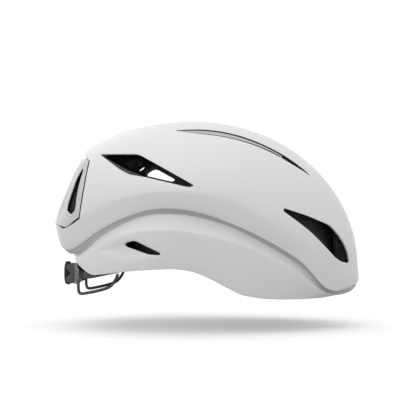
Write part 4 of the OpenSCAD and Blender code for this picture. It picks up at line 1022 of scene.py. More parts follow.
# %% The ear slots on the map
ear_slot = np.array([[-82, 13.6], [-80, 15.3], [-73, 17.2], [-50, 6.2], [-50, 4.2], [-60, 4.8],
                     [-80, 11.6]])
edge = rounded(ear_slot, 2.5, 1.0)
start = edge + outline_sides(edge) * 1.0
angle, reach = np.meshgrid(np.radians(np.linspace(200, 260, 60)), np.linspace(1.1, 1.9, 40))
guesses = polar(reach.ravel(), angle.ravel())
slot_edge = find_on(lower_point, edge, [0, 2], guesses)
slot_start = find_on(lower_point, start, [0, 2], guesses)
slots = [(slot_edge, slot_start), (slot_edge[::-1] * [1, -1], slot_start[::-1] * [1, -1])]
miss = np.abs(lower_point(slot_edge)[:, [0, 2]] - edge).max()
print("ear slot found within", float(miss), "mm")

# %% The lower shell
around = whole_turn(360)
circle = polar(1, around)
radii = np.concatenate([1 + np.linspace(0.02, 0.48, 10), [1.49, 1.5, 1.51],
                        1 + np.linspace(0.53, 0.98, 18)])
scattered = ring_net(radii, 1.0, lambda r: len(around) / (2 * np.pi))
for _, start in slots:
    scattered = clear_of(scattered, start, 0.012)
flat, triangles, spans = net(scattered, [start for _, start in slots], 2 * circle, circle)
outer = lower_point(flat)
inner = inward(outer, np.full(len(outer), wall))
edges = []
for (edge, _), span in zip(slots, spans):
    way = one_way(span, flat, True)
    loop = span[way]
    rim_line = lower_point(edge[way])
    into = np.array([[0, -np.sign(rim_line[0, 1]), 0]])
    edges.append((loop, rolled(outer[loop], rim_line, into, vent_deep)))
foot_span, neck_span = spans[2], spans[3]
way = one_way(foot_span, flat, False)
loop = foot_span[way]
rows = [mix(outer[loop], inner[loop], w) - [0, 0, d]
        for w, d in ((0.12, 0.45), (0.5, 0.7), (0.88, 0.45))]
edges.append((loop, rows))
way = one_way(neck_span, flat, True)
loop, t = neck_span[way], around[way]
top = hidden_top(t)
edges.append((loop, [top, inward(top, wall)]))
points, faces = walled(outer, inner, triangles, edges)
piece("lower_shell_skin", points, faces, shell_white, "shell", "lower_shell", 50)

# %% [markdown]
# ## The rear vent frame
# Behind the crown the shell is cut away, and a separate grey frame fills the gap, with a port in
# each half that lets the air out. It is a ruled surface between the crease and the tail edge with
# a keel down its middle. Each port has a raised bezel with a short wall turned in behind it.

# %% The frame's surface
tail_line = np.array([[33.5, 0.4], [44, 3.6], [54, 7.4], [63, 11.4], [73, 15.6], [82, 19.8],
                      [88, 23.6], [93.3, 28.5]])
keel_step, keel_from, keel_to, keel_power = 0.12, 0.12, 0.36, 1.9
sill_share, edge_share = 0.25, 0.8
sill_dip, dip_at = 7.8, 0.7
seam_gap = 0.3
frame_wall, turn_from, turn_to = 2, 0.72, 0.985
shelf_more, shelf_from, shelf_side, shelf_end = 4, 0.96, 0.7, 0.95


def frame_point(flat):
    """The frame over (-s, h): s runs from seam to seam and h from sill to tail edge. Its depth
    goes from the middle line to the seams by a keel curve, at the sill by the plan and at the
    tail edge by s^4."""
    s, h = -flat[:, 0], flat[:, 1]
    side = np.abs(s)
    seam_x, seam_z = mix(seam_foot[0], seam_top[0], h), mix(seam_foot[1], seam_top[1], h)
    y = np.sign(s) * dome_y(seam_x, seam_z) * side
    out = np.minimum(1, np.abs(y) / half_width)
    plan_x = plan_middle - (plan_middle - tail) * (1 - out**power_behind) ** (1 / power_behind)
    foot_share = np.minimum(1, (plan_x - tail) / (seam_foot[0] - tail))
    keel = keel_step * soft_step(keel_from, keel_to, side) + (1 - keel_step) * side**keel_power
    share = mix(foot_share, keel, soft_step(0, sill_share, h))
    share = mix(share, side**4, soft_step(edge_share, 1, h))
    height = mix(tail_line[0, 0], tail_line[-1, 0], h)
    dip = sill_dip * (1 - h) ** 4 * np.where(side < dip_at, side / dip_at,
                                             (1 - side) / (1 - dip_at))
    x = mix(heights(tail_line, height) + tail, seam_x - seam_gap, share)
    return np.stack([x, y, mix(height, seam_z, side * side) - dip], -1)


def frame_back(flat):
    """The frame's inner face: 2 mm ahead of the face, beside the seams 2 mm inside it, and 6 mm
    ahead along the top, where a shelf reaches under the shell's blunt edge."""
    side = np.abs(flat[:, 0])
    turn = np.pi / 2 * soft_step(turn_from, turn_to, side)
    shift = np.stack([np.cos(turn), np.sign(flat[:, 0]) * np.sin(turn), np.zeros(len(turn))], -1)
    shelf = soft_step(shelf_from, 1, flat[:, 1]) * (1 - soft_step(shelf_side, shelf_end, side))
    return frame_point(flat) + (frame_wall + shelf_more * shelf)[:, None] * shift


def grid_points(xs, ys):
    """All pairs of two lists of numbers, as points."""
    x, y = np.meshgrid(xs, ys)
    return np.stack([x.ravel(), y.ravel()], -1)


# %% The ports, seen from behind
port = np.array([[32, 48], [33.4, 45.4], [46, 41.3], [49.8, 44.4], [49.4, 47.6], [39.1, 79],
                 [37.6, 81.2], [36, 80.6], [31, 73.4]])
bezel_width = 3.0
edge = rounded(port + outline_sides(port) * 1.6, 4, 0.9)
start = edge + outline_sides(edge) * bezel_width
guesses = grid_points(np.linspace(-0.9, -0.15, 50), np.linspace(0.05, 0.95, 50))
port_edge = find_on(frame_point, edge, [1, 2], guesses)
port_start = find_on(frame_point, start, [1, 2], guesses)
ports = [(port_edge, port_start), (port_edge[::-1] * [-1, 1], port_start[::-1] * [-1, 1])]

# %% The rear vent frame
side_s, sill_h = 0.992, 0.009
across_s, up_h = np.linspace(-side_s, side_s, 121), np.linspace(sill_h, 1, 61)
border = np.concatenate([grid_points(across_s[:-1], [sill_h]), grid_points([side_s], up_h[:-1]),
                         grid_points(across_s[:0:-1], [1]), grid_points([-side_s], up_h[:0:-1])])
scattered = grid_points(across_s[1:-1], up_h[1:-1])
for _, start in ports:
    scattered = clear_of(scattered, start, 0.009)
flat, triangles, spans = net(scattered, [start for _, start in ports], border)
outer, inner = frame_point(flat), frame_back(flat)
edges = []
bead = [(0.06, 0.15), (0.16, 0.32), (0.3, 0.4), (0.62, 0.4), (0.82, 0.3), (0.95, 0.05)]
turned_in = [(1.0, 0.3), (0.97, 0.5), (0.75, 0.8), (0.4, 1.3)]
for (edge, _), span in zip(ports, spans):
    way = one_way(span, flat, True)
    loop = span[way]
    normal = surface_normal(frame_point, flat[loop])
    across = frame_point(edge[way]) - outer[loop]
    rows = [outer[loop] + w * across + h * normal for w, h in bead]
    rows += [outer[loop] + w * across + [d, 0, 0] for w, d in turned_in]
    edges.append((loop, rows))
way = one_way(spans[2], flat, False)
loop = spans[2][way]
edges.append((loop, [mix(outer[loop], inner[loop], w) for w in (0.35, 0.7)]))
points, faces = walled(outer, inner, triangles, edges)
piece("rear_frame_skin", points, faces, frame_white, "shell", "rear_vent_frame", 50)

# %% [markdown]
# ## The crown slots' trays
# The two slots beside the crown don't go through the helmet: a pale grey bar with fine ribs
# aslant stands in each on a black strip, painted shade that shows as a dark line on both sides
# of it where the gaps round the bar lie in shadow. One section that leans as the dome leans is
# carried along the slot's own path for both, and the ribs are only a wave in the height of the
# bar's face.


# %% The trays
rib_pitch, rib_fade = 2.6, 6


def slot_bar(side, last, gap, low_gap, face, base, rib, grow, sink):
    """A bar along a crown slot's path as far as its knot number last. It stands off the slot's
    upper and lower edges by two gaps, its face and base lie at two depths below the dome, and
    ribs of |sin| of the distance along and aslant rise from its face. Forwards its lower gap
    grows and the whole bar sinks with the square of the distance."""
    mid = through(slot_path, np.linspace(0, last, 420))
    run = unit(np.gradient(mid[:, :2], axis=0))
    out = np.stack([-run[:, 1], run[:, 0]], -1)
    gone = distances(mid[:, :2])
    share = (gone / gone[-1]) ** 2
    high = np.maximum(slot_half * mid[:, 2] - gap, 0.2)
    low = np.maximum(slot_half * mid[:, 2] - low_gap - grow * share, 0.1)
    places = np.concatenate([[1, -1], np.linspace(-1, 1, 13)])
    depth = np.array([base, base, face + 0.4, face + 0.1] + [face] * 9 + [face + 0.1, face + 0.4])
    offset = places * np.where(places < 0, high[:, None], low[:, None])
    wave = np.abs(np.sin(np.pi * (gone[:, None] + 0.5 * offset) / rib_pitch)) ** 0.5
    fade = soft_step(0, rib_fade, gone) * soft_step(0, rib_fade, gone[-1] - gone)
    xy = mid[:, None, :2] + offset[:, :, None] * out[:, None, :]
    z = (dome_z(xy[:, :, 0], xy[:, :, 1]) - depth - sink * share[:, None]
         + np.where(depth == face, rib * (1 - wave) * fade[:, None], 0))
    points = np.concatenate([xy, z[:, :, None]], -1)
    return capped(points if side > 0 else points[:, ::-1] * [1, -1, 1])


ribbed = {"last": 4.4, "gap": 1.3, "low_gap": 2.5, "face": 0.7, "base": 2.0, "rib": 0.5,
          "grow": 1.6, "sink": 0.3}
# The black strip under each bar is painted shade for the shadowed gaps at its sides.
gap_shade_strip = {"last": 4.3, "gap": 0.02, "low_gap": 0.02, "face": 0.92, "base": 1.9, "rib": 0,
          "grow": 0, "sink": 0.3}
for name, side in (("slot_tray_left", 1), ("slot_tray_right", -1)):
    piece(name + "_ribbed", *slot_bar(side, **ribbed), tray_grey, "shell", name, 35)
    piece(name + "_gasket", *slot_bar(side, **gap_shade_strip), grip_rubber, "shell", name, 35)

# %% [markdown]
# ## The foam
# Moulded bead foam fills the space between shell and head in two layers, which slip on each
# other on a round surface. It is carved here as a maker would rout it: a plain block from rings of
# points, then the vents and ducts are cut away, and a remesh at 1.9 mm rounds the cut edges over,
# as foam from a mould has them.


# %% Blocks and cutters
def stacked(rings, first, last):
    """A closed solid from rings of points between two end points."""
    count, n = len(rings), len(rings[0])
    low = 1 + np.arange(n)
    high = low + (count - 1) * n
    quads = 1 + ring_quads(count, n)
    top = np.stack([np.zeros(n, int), low, np.roll(low, -1)], 1)
    end = np.stack([np.full(n, count * n + 1), np.roll(high, -1), high], 1)
    points = np.concatenate([np.reshape(first, (1, 3)), *rings, np.reshape(last, (1, 3))])
    return points, quads.tolist() + top.tolist() + end.tolist()


def block(name, points, faces):
    """A mesh object in metres for carving, with its faces turned outwards."""
    made = placed(name, points, faces)
    shape = bmesh.new()
    shape.from_mesh(made.data)
    bmesh.ops.recalc_face_normals(shape, faces=shape.faces)
    shape.to_mesh(made.data)
    shape.free()
    return made


def prism(first, second):
    """A solid between two outlines with as many points each."""
    n = len(first)
    ids = np.arange(n)
    quads = np.stack([ids, np.roll(ids, -1), np.roll(ids, -1) + n, ids + n], 1)
    ends = [ids[::-1].tolist(), (ids + n).tolist()]
    return np.concatenate([first, second]), quads.tolist() + ends


def plate(outline, y0, y1):
    """A side outline in x and z as a solid from y0 to y1."""
    return prism(*[np.insert(outline, 1, y, axis=1) for y in (y0, y1)])


def side_prism(corners, y0, y1, grow=0.0):
    """A vent's outline, rounded and grown outwards, as a solid from y0 to y1."""
    line = rounded(corners, 4, 1.5)
    return plate(line + outline_sides(line) * grow, y0, y1)


def duct(a, ra, b, rb):
    """A round channel from a to b with round ends, its radius going from ra to rb."""
    a, b = np.array(a, float), np.array(b, float)
    length = np.linalg.norm(b - a)
    run = (b - a) / length
    side = np.cross(run, [0, 0, 1.0])
    side /= np.linalg.norm(side)
    up = np.cross(side, run)
    w = np.radians(np.linspace(8, 90, 7))
    at = np.concatenate([-ra * np.cos(w), length + rb * np.cos(w[::-1])])
    r = np.concatenate([ra * np.sin(w), rb * np.sin(w[::-1])])
    t = whole_turn(28)
    rings = [a + run * d + k * (np.cos(t)[:, None] * side + np.sin(t)[:, None] * up)
             for d, k in zip(at, r)]
    return stacked(rings, a - ra * run, b + rb * run)


def carve(made, cutters, way="DIFFERENCE"):
    """Takes each cutter out of a block, or joins it on by UNION, and deletes the cutter."""
    for points, faces in cutters:
        tool = block("cutter", points, faces)
        cut = made.modifiers.new("cut", "BOOLEAN")
        cut.operation = way
        cut.solver = "MANIFOLD"
        cut.object = tool
        apply(made)
        bpy.data.objects.remove(tool, do_unlink=True)


def apply(made):
    """Writes a piece's modifiers into its mesh."""
    ready = made.evaluated_get(bpy.context.evaluated_depsgraph_get())
    mesh = bpy.data.meshes.new_from_object(ready)
    old = made.data
    made.modifiers.clear()
    made.data = mesh
    bpy.data.meshes.remove(old)


def even(made, voxel):
    """Adds a remesh into even quads, with edges as long as a voxel in millimetres."""
    grid = made.modifiers.new("even", "REMESH")
    grid.mode = "VOXEL"
    grid.voxel_size = voxel * MM


# %% Rings of the foam's faces
def bowl_ring(t, f, bowl, foot):
    """A ring of a round bowl: share f of the turn from the height of its foot up to its pole."""
    d = unit(rim(t)[:, :2])
    lift = mix(np.arcsin(foot / bowl[2]), np.pi / 2, f)
    flat_reach = np.cos(lift) / np.hypot(d[:, 0] / bowl[0], d[:, 1] / bowl[1])
    return np.column_stack([d * flat_reach[:, None], bowl[2] * np.sin(lift)])


def dome_ring(t, s, depth):
    """A ring of the dome at share s of the quarter turn from crown to crease, moved inwards."""
    return inward(shell_point(polar(s, t)), np.full(len(t), depth))


inner_rim_z = np.array([
    [-131.5, 4], [-121, 2], [-106, -1], [-81, -4.5], [-59, -5.5], [-41, -5.5], [-20, -8.5],
    [-9.5, -12.5], [1, -18], [12, -24], [22, -28.5], [33, -31], [49, -32.8], [75, -33.4],
    [94, -33], [109, -31.6], [124, -29], [131, -25]])
t = whole_turn(220)
shares = np.linspace(0, 1, 26)
outer_bowl, inner_bowl = np.array([113.2, 89.7, 113.2]), np.array([112.0, 88.5, 112.0])
head = np.array([101.0, 81.0, 100.0])
head_bowl = head * 1.01
foam_in, skirt_in, skirt_up = 2.2, 3.0, 1.2
skirt = [inward(line(t), skirt_in) for line in (hidden_top, hidden_neck, swage, rim)]
skirt[-1] += [0, 0, skirt_up / 2]
foot = rim(t)[:, 2] + skirt_up
inner_foot = rim(t, inner_rim_z)[:, 2]

# %% The outer foam
layers = [dome_ring(t, s, foam_in) for s in np.linspace(0.04, 1, 26)]
for a, b in zip([layers[-1], *skirt[:-1]], skirt):
    layers += [mix(a, b, w) for w in (0.25, 0.5, 0.75, 1.0)]
layers += [bowl_ring(t, f, outer_bowl, foot) for f in shares[:-1]]
crown_point = inward(np.array([[plan_middle, 0, crown_height]]), np.array([foam_in]))
outer_foam = block("outer_foam", *stacked(layers, crown_point, [0, 0, outer_bowl[2]]))
back = [[-200, 22], [-134, 26], [-120.2, 37.2], [-116.2, 64], [-112.6, 90.4], [-117.4, 93.6],
        [-119.3, 101.9], [-119.3, 130], [-200, 130]]
back_middle = [[-200, 22], [-137, 29], [-135.5, 40], [-128.2, 64], [-123.5, 80], [-119, 90],
               [-117.4, 93.6], [-119.3, 101.9], [-119.3, 130], [-200, 130]]
diamond_foam = np.concatenate([
    diamond[:6], [[-72.2, 77.3], [-79.4, 80.2], [-87.8, 84.6], [-96.4, 89.8]]])
slot_tool = slot_outline(0.9)
tray_front, tray_deep, air_deep = 60, 3.2, 24
cutter_high = 60
vent_room = 0.4


def slot_cutter(side):
    """A crown slot's outline as a solid from above the shell to below its tray, and deeper ahead
    of the tray, where it lets air in."""
    line = slot_tool * [1, side]
    low = dome_z(line[:, 0], line[:, 1]) - np.where(line[:, 0] < tray_front, tray_deep, air_deep)
    return prism(np.column_stack([line, low]), np.column_stack([line, low + cutter_high]))


def rear_duct(x, side):
    """The channel from a rear port into the bowl, begun at a length x."""
    return duct([x, 41 * side, 58], 15, [-62, 32 * side, 50], 9)


cutters = [side_prism(back, 24, 120), side_prism(back, -120, -24),
           side_prism(back_middle, -24.01, 24.01), slot_cutter(1), slot_cutter(-1)]
for side in (-1, 1):
    deep_in, under_edge = sorted((20 * side, 130 * side)), sorted((60 * side, 130 * side))
    cutters += [side_prism(diamond_foam, *deep_in), side_prism(front_vent, *deep_in, vent_room),
                side_prism(ear_slot, *under_edge, vent_room), rear_duct(-170, side)]
carve(outer_foam, cutters)

# %% A bridge of foam inside the rear frame, so that no light shows from port to port
bridge_gap, bridge_front = 1.2, -118
across_bridge = np.linspace(0.42, -0.42, 21)
bridge = []
for share in np.linspace(0.08, 0.93, 36):
    near = frame_back(grid_points(across_bridge, [share])) + [bridge_gap, 0, 0]
    bridge.append(np.concatenate([near, near[::-1] * [0, 1, 1] + [bridge_front, 0, 0]]))
carve(outer_foam, [stacked(bridge, bridge[0].mean(axis=0), bridge[-1].mean(axis=0))], "UNION")
print("foam between the ports reaches y", float(bridge[18][:, 1].max()))

# %% The inner foam
layers = [bowl_ring(t, f, inner_bowl, inner_foot) for f in shares[-2::-1]]
layers += [mix(layers[-1], bowl_ring(t, 0, head_bowl, inner_foot), w) for w in (0.33, 0.66)]
layers += [bowl_ring(t, f, head_bowl, inner_foot) for f in shares[:-1]]
inner_foam = block("inner_foam", *stacked(layers, [0, 0, inner_bowl[2]], [0, 0, head_bowl[2]]))
diamond_inner = np.array([[-68.9, 78.3], [-59.2, 84.8], [-34.9, 71.4], [-35.2, 69.8],
                          [-36.9, 69.2], [-68.9, 77]])
beside_bar = np.array([[-65.1, 85.3], [-70.8, 80.7], [-77, 82], [-75, 87], [-66.5, 86.5]])
cutters = [side_prism(beside_bar, -130, 130), side_prism(diamond_inner, -130, 130)]
temple = np.array([35, -10])
anchor_room, anchor_in, anchor_out = 7.3, 70.8, 80.5
seat_near, seat_far, seat_half = 129.3, 136.9, 8.7
for side in (-1, 1):
    disc = temple + polar(anchor_room, np.radians(np.arange(40) * 9))
    rings = [np.insert(disc, 1, side * y, axis=1) for y in (anchor_in, anchor_out)]
    ends = [[temple[0], side * y, temple[1]] for y in (anchor_in, anchor_out)]
    cutters += [rear_duct(-123, side), duct([103, 50 * side, 8], 7, [72, 34 * side, 8], 6),
                duct([60, 44 * side, 86], 6, [44, 34 * side, 66], 6),
                duct([0, 46 * side, 102], 6, [0, 34 * side, 72], 6), stacked(rings, *ends)]
turn = np.radians(np.linspace(163, 173, 12))
seat = temple + np.concatenate([polar(seat_near, turn), polar(seat_far, turn)[::-1]])
cutters.append(plate(seat, -seat_half, seat_half))
carve(inner_foam, cutters)

# %% Rounded edges and beads
foam_voxel = 1.9
for made, body, packed in ((outer_foam, "shell", "outer_liner"),
                           (inner_foam, "inner", "inner_liner")):
    even(made, foam_voxel)
    smooth = made.modifiers.new("round", "SMOOTH")
    smooth.factor = 0.5
    smooth.iterations = 4
    apply(made)
    dress(made, foam, body, packed)

# %% [markdown]
# ## Comfort pads
# Each pad is knitted cloth over soft foam, sewn round its edge and pinned through by short seams.
# The form begins as two faces over a patch of the head's bowl, drawn a little thin. A cloth
# simulation then blows it up as air would, which gives the skin its own tension and the sides
# their pull, and the seams are pressed in afterwards, because a remesh would have closed them.


# %% A pad's first form
def bowl_at(pitch, lean, depth):
    """A point on the head's bowl by two angles in degrees, moved inwards square to the bowl."""
    a, b = np.radians(pitch), np.radians(lean)
    p = head * np.stack([np.cos(b) * np.cos(a), np.sin(b), np.cos(b) * np.sin(a)], -1)
    return p - unit(p / head**2) * np.asarray(depth)[..., None]


drawn_u, drawn_v = 0.06, 0.10
pad_off, pad_edge = 0.5, 0.4


def cushion(nu, nv):
    """A pad's grid over shares u and v from -1 to 1. Gives u, both shares with the sides drawn in
    between the corners, and the crown sqrt((1 - u^6)(1 - v^6))."""
    u, v = np.meshgrid(np.linspace(-1, 1, nu), np.linspace(-1, 1, nv), indexing="ij")
    crown = np.sqrt(np.clip((1 - u**6) * (1 - v**6), 0, 1))
    return u, u * (1 - drawn_u * (1 - v * v)), v * (1 - drawn_v * (1 - u * u)), crown


def pad_form(pitch, lean, thick, nu, nv):
    """Two faces over a patch of the bowl, the inner one crowned. Gives both faces and the share
    of the length at their points."""
    u, across, along, crown = cushion(nu, nv)
    a, b = mix(*lean, 0.5 + 0.5 * across), mix(*pitch, 0.5 + 0.5 * along)
    under = bowl_at(b, a, np.full(u.shape, pad_off))
    return under, bowl_at(b, a, pad_off + pad_edge + thick * crown), u


def two_faced(under, over):
    """Closes two grids with the same border into one skin."""
    nu, nv = under.shape[:2]
    ids = np.arange(nu * nv).reshape(nu, nv)
    sheet = np.stack([ids[:-1, :-1], ids[1:, :-1], ids[1:, 1:], ids[:-1, 1:]], -1).reshape(-1, 4)
    edge = np.concatenate([ids[:-1, 0], ids[-1, :-1], ids[:0:-1, -1], ids[0, :0:-1]])
    far = edge + nu * nv
    band = np.stack([edge, np.roll(edge, -1), np.roll(far, -1), far], 1)
    points = np.concatenate([under.reshape(-1, 3), over.reshape(-1, 3)])
    return points, (sheet[:, ::-1]).tolist() + (sheet + nu * nv).tolist() + band.tolist()


# %% Blowing a pad up
def positions(mesh):
    """A mesh's points as an array."""
    found = np.empty(len(mesh.vertices) * 3)
    mesh.vertices.foreach_get("co", found)
    return found.reshape(-1, 3)


pad_pressure, blown_frames = 4, 15


def stuffed(packed, form, seams, body, voxel=2.2, cap=1.1):
    """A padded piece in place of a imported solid: evened by a remesh, blown up as cloth without
    gravity, moved no further than the cap, then pressed along its seams, given as shares of its
    length. Voxel and cap are millimetres."""
    under, over, share = form
    pad = block(packed + "_cloth", *two_faced(under, over))
    even(pad, voxel)
    apply(pad)
    rest = positions(pad.data)
    cloth = pad.modifiers.new("cloth", "CLOTH")
    cloth.settings.use_pressure = True
    cloth.settings.uniform_pressure_force = pad_pressure
    cloth.settings.effector_weights.gravity = 0
    for number in range(1, blown_frames + 1):
        scene.frame_set(number)
    apply(pad)
    scene.frame_set(1)
    moved = positions(pad.data) - rest
    far = np.linalg.norm(moved, axis=1, keepdims=True)
    blown = rest + moved * np.minimum(1, cap * MM / np.maximum(far, 1e-9))
    pad.data.vertices.foreach_set("co", blown.ravel())
    press_seams(pad, over * MM, share, seams)
    smooth = pad.modifiers.new("finer", "SUBSURF")
    smooth.levels = smooth.render_levels = 1
    apply(pad)
    dress(pad, pad_cloth, body, packed)


batch = 2000
seam_width, seam_reach, seam_pull = 0.035, 0.995, 0.45


def press_seams(pad, over, share, seams):
    """Sinks a narrow valley where the share of the length is a seam's: each point is drawn by a
    part of the way towards a bowl near the pad's back, times a bell round the seam."""
    points = positions(pad.data)
    near = np.empty(len(points))
    for start in range(0, len(points), batch):
        some = points[start:start + batch]
        far = np.linalg.norm(some[:, None] - over.reshape(-1, 3)[None], axis=2)
        near[start:start + batch] = share.ravel()[far.argmin(axis=1)]
    bell = np.zeros(len(points))
    for seam in seams:
        bell = np.maximum(bell, np.exp(-(((near - seam) / seam_width) ** 2)))
    reach = np.linalg.norm(points / (head * MM), axis=1, keepdims=True)
    lift = (seam_reach - reach) * seam_pull * bell[:, None]
    pad.data.vertices.foreach_set("co", (points * (1 + lift / reach)).ravel())


# %% The pads in the bowl
stuffed("brow_pad", pad_form((14, 29), (-46, 46), 5.2, 121, 31), (-0.34, 0.34), "inner")
for hand, side in (("left", 1), ("right", -1)):
    crown_lean, side_lean = sorted((6 * side, 18 * side)), sorted((38 * side, 52 * side))
    stuffed(f"crown_pad_{hand}", pad_form((62, 112), crown_lean, 4.2, 31, 91), (0.0,), "inner")
    stuffed(f"side_pad_{hand}", pad_form((32, 58), side_lean, 4.2, 41, 41), (0.0,), "inner")
stuffed("rear_pad", pad_form((135, 152), (-22, 22), 4.2, 81, 31), (-0.4, 0.4), "inner")

# %% The neck pads on the yoke
dial_z = -16
yoke_x, yoke_in = -30, 99.7
neck_middle, neck_turn, neck_half = 12.5, 7.5, 6.5
neck_edge, neck_thick = 0.3, 2.1


def neck_form(turn):
    """The same form on the round inside of the yoke, about the yoke's own centre."""
    u, across, along, crown = cushion(41, 27)
    a = np.radians(180 + turn * (neck_middle + neck_turn * across))
    z = dial_z + neck_half * along
    faces = [np.stack([yoke_x + r * np.cos(a), r * np.sin(a), z], -1)
             for r in (yoke_in + 0 * crown, yoke_in - neck_edge - neck_thick * crown)]
    return (*faces, u)


for hand, turn in (("left", -1), ("right", 1)):
    stuffed(f"neck_pad_{hand}", neck_form(turn), (), "cradle", voxel=1.4, cap=0.4)

# %% [markdown]
# ## Webbing
# Polyester webbing is flat, woven and a little stiff. It stands on its edge where it lies tucked
# inside the bowl, ready to be pulled down. A strap here is a flat section with soft edges carried
# along a smooth path, and a UV map in metres along and across it lays the weave straight.


# %% Sections carried along a path
def smooth_path(knots, count):
    """Points on the smooth path through the knots."""
    return through(np.asarray(knots, float), np.linspace(0, len(knots) - 1, count))


def carried(path, section, side, up):
    """Carries a section of (side, up) points along a path."""
    return path[:, None] + section[None, :, :1] * side[:, None] + section[None, :, 1:] * up[:, None]


def swept(path, section):
    """Carries a section along a path. Side lies level and square to the path, and up is +Z."""
    run = unit(np.gradient(path, axis=0))
    side = unit(np.stack([-run[:, 1], run[:, 0], 0 * run[:, 0]], -1))
    points, faces = capped(carried(path, section, side, np.tile([0.0, 0, 1], (len(path), 1))))
    return points, turned_over(faces)


def flat_section(thick, high, corner):
    """A flat section whose corners are quarter circles."""
    round_off = polar(corner, np.radians(np.linspace(0, 90, 5)))
    quarter = round_off + [thick / 2 - corner, high / 2 - corner]
    back = quarter[::-1]
    return np.concatenate([quarter, back * [-1, 1], -quarter, back * [1, -1]])


def lay_cloth(made, path, section):
    """Writes a UV map in metres: evenly along the path, and round the section."""
    layer = made.data.uv_layers.new(name="cloth")
    corner = np.empty(len(made.data.loops), int)
    made.data.loops.foreach_get("vertex_index", corner)
    along = (corner // len(section)) / (len(path) - 1) * distances(path)[-1]
    around_it = distances(section)[corner % len(section)]
    layer.data.foreach_set("uv", np.column_stack([along, around_it]).ravel() * MM)


strap_thick, strap_wide, strap_corner = 1.2, 13, 0.5


def strap(name, knots, side, count=90):
    """A strap on edge along its knots, mirrored for the right."""
    path, section = smooth_path(knots, count), flat_section(strap_thick, strap_wide, strap_corner)
    made = placed(name + "_woven", *on_side(side, *swept(path, section)))
    dress(made, webbing, "inner", name, 60)
    lay_cloth(made, path, section)


# %% The straps
front = [[63, 60, -14], [50, 63.6, -19], [39.6, 65.8, -22]]
rear = [[-50, 66.6, 12], [-35, 69, 8], [-15, 69.8, 1], [5, 69.4, -9], [14, 67.6, -16],
        [20.4, 64.6, -22]]
chin_left = [[39.6, 61.6, -26], [55, 58, -26], [70, 50.6, -26], [79.4, 40.6, -26], [83.6, 34, -26],
             [84.4, 28.4, -26], [84.4, 27, -26], [84.4, 14, -26], [84.4, 1.4, -26]]
chin_right = [[39.6, 61.6, -26], [55, 58, -26], [70, 50.6, -26], [81, 40, -26], [85.6, 32, -26],
              [86, 26.6, -26]]
for hand, side in (("left", 1), ("right", -1)):
    strap(f"front_strap_{hand}", front, side)
    strap(f"rear_strap_{hand}", rear, side, 140)
strap("chin_strap_left", chin_left, 1, 160)
strap("chin_strap_right", chin_right, -1, 140)

# %% [markdown]
# ## The head cradle
# A cradle of stiff strip hangs at the back of the head from pins at the temples. In its middle a
# yoke holds two racks, and a dial behind it turns a pinion between them. The yoke, clips and
# anchors are exact solids already, so they are kept: a copy of each is merged, its corners are
# trimmed where the real one tapers, and a small bevel gives the edges the glint of moulded parts.


# %% Copies of exact solids, with rounded edges
merge_within = 2e-6
flat_within, bevel_above, sharp_above = 1.5, 32, 38


def refined(packed, finish, body, width, cutters=(), extra=()):
    """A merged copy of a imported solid, with cutters taken out, extra solids joined on and its
    edges bevelled by a width in millimetres."""
    shape = bmesh.new()
    shape.from_mesh(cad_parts[packed].data)
    bmesh.ops.remove_doubles(shape, verts=shape.verts, dist=merge_within)
    mesh = bpy.data.meshes.new(packed + "_fine")
    shape.to_mesh(mesh)
    shape.free()
    made = bpy.data.objects.new(packed + "_fine", mesh)
    scene.collection.objects.link(made)
    carve(made, cutters)
    carve(made, extra, "UNION")
    clean = bmesh.new()
    clean.from_mesh(made.data)
    bmesh.ops.dissolve_limit(clean, angle_limit=math.radians(flat_within), verts=clean.verts,
                             edges=clean.edges)
    clean.to_mesh(made.data)
    clean.free()
    round_off = made.modifiers.new("round", "BEVEL")
    round_off.width = width * MM
    round_off.segments = 2
    round_off.limit_method = "ANGLE"
    round_off.angle_limit = math.radians(bevel_above)
    round_off.harden_normals = False
    apply(made)
    dress(made, finish, body, packed, sharp_above)


# %% Yoke, cover with its cheeks beside the dial, clips, anchors, hanger and buckle
taper_top = [[-129.6, -4], [-129.6, -7.4], [-126.9, -11.4], [-124, -12.8], [-118, -12.8],
             [-118, -4]]
taper_low = [[-129.6, -28], [-118, -28], [-118, -19.2], [-124, -19.2], [-126.9, -20.6],
             [-129.6, -24.6]]
below = [[16, -45], [40, -45], [40, -36], [34, -35], [20, -30.5], [16, -29]]
fine_step = 0.8
trims = [plate(rounded(line, 0.6, fine_step), -60, 60) for line in (taper_top, taper_low)]
low_corner = plate(rounded(below, 0.6, fine_step), -90, 90)
cheek = [[-134.3, -6.8], [-139.8, -7.1], [-141.9, -8.6], [-142.1, -11.4], [-137.8, -16.1],
         [-142.7, -20.6], [-142.6, -22.6], [-137.9, -25.4], [-134.3, -25.2]]
cheeks = [plate(rounded(cheek, 1.6, fine_step), *sorted((side * 11.8, side * 13.6)))
          for side in (-1, 1)]
refined("cradle_yoke", cradle_plastic, "cradle", 0.3, trims)
refined("rack_cover", cradle_plastic, "cradle", 0.35, trims, cheeks)
for hand in ("left", "right"):
    refined(f"arm_clip_{hand}", cradle_plastic, "cradle", 0.25)
    refined(f"temple_anchor_{hand}", cradle_plastic, "inner", 0.3)
    refined(f"strap_divider_{hand}", grip_rubber, "inner", 0.8, [low_corner])
refined("height_hanger", cradle_plastic, "cradle", 0.25)
refined("hanger_socket", cradle_plastic, "inner", 0.25)
refined("cover_screws", screw_steel, "cradle", 0.08)
refined("buckle_socket", grip_rubber, "inner", 0.6)
refined("buckle_insert", grip_rubber, "buckle", 0.5)
refined("pinion", gear_plastic, "dial", 0.08)
refined("rack_left", gear_plastic, "rack_upper", 0.08)
refined("rack_right", gear_plastic, "rack_lower", 0.08)

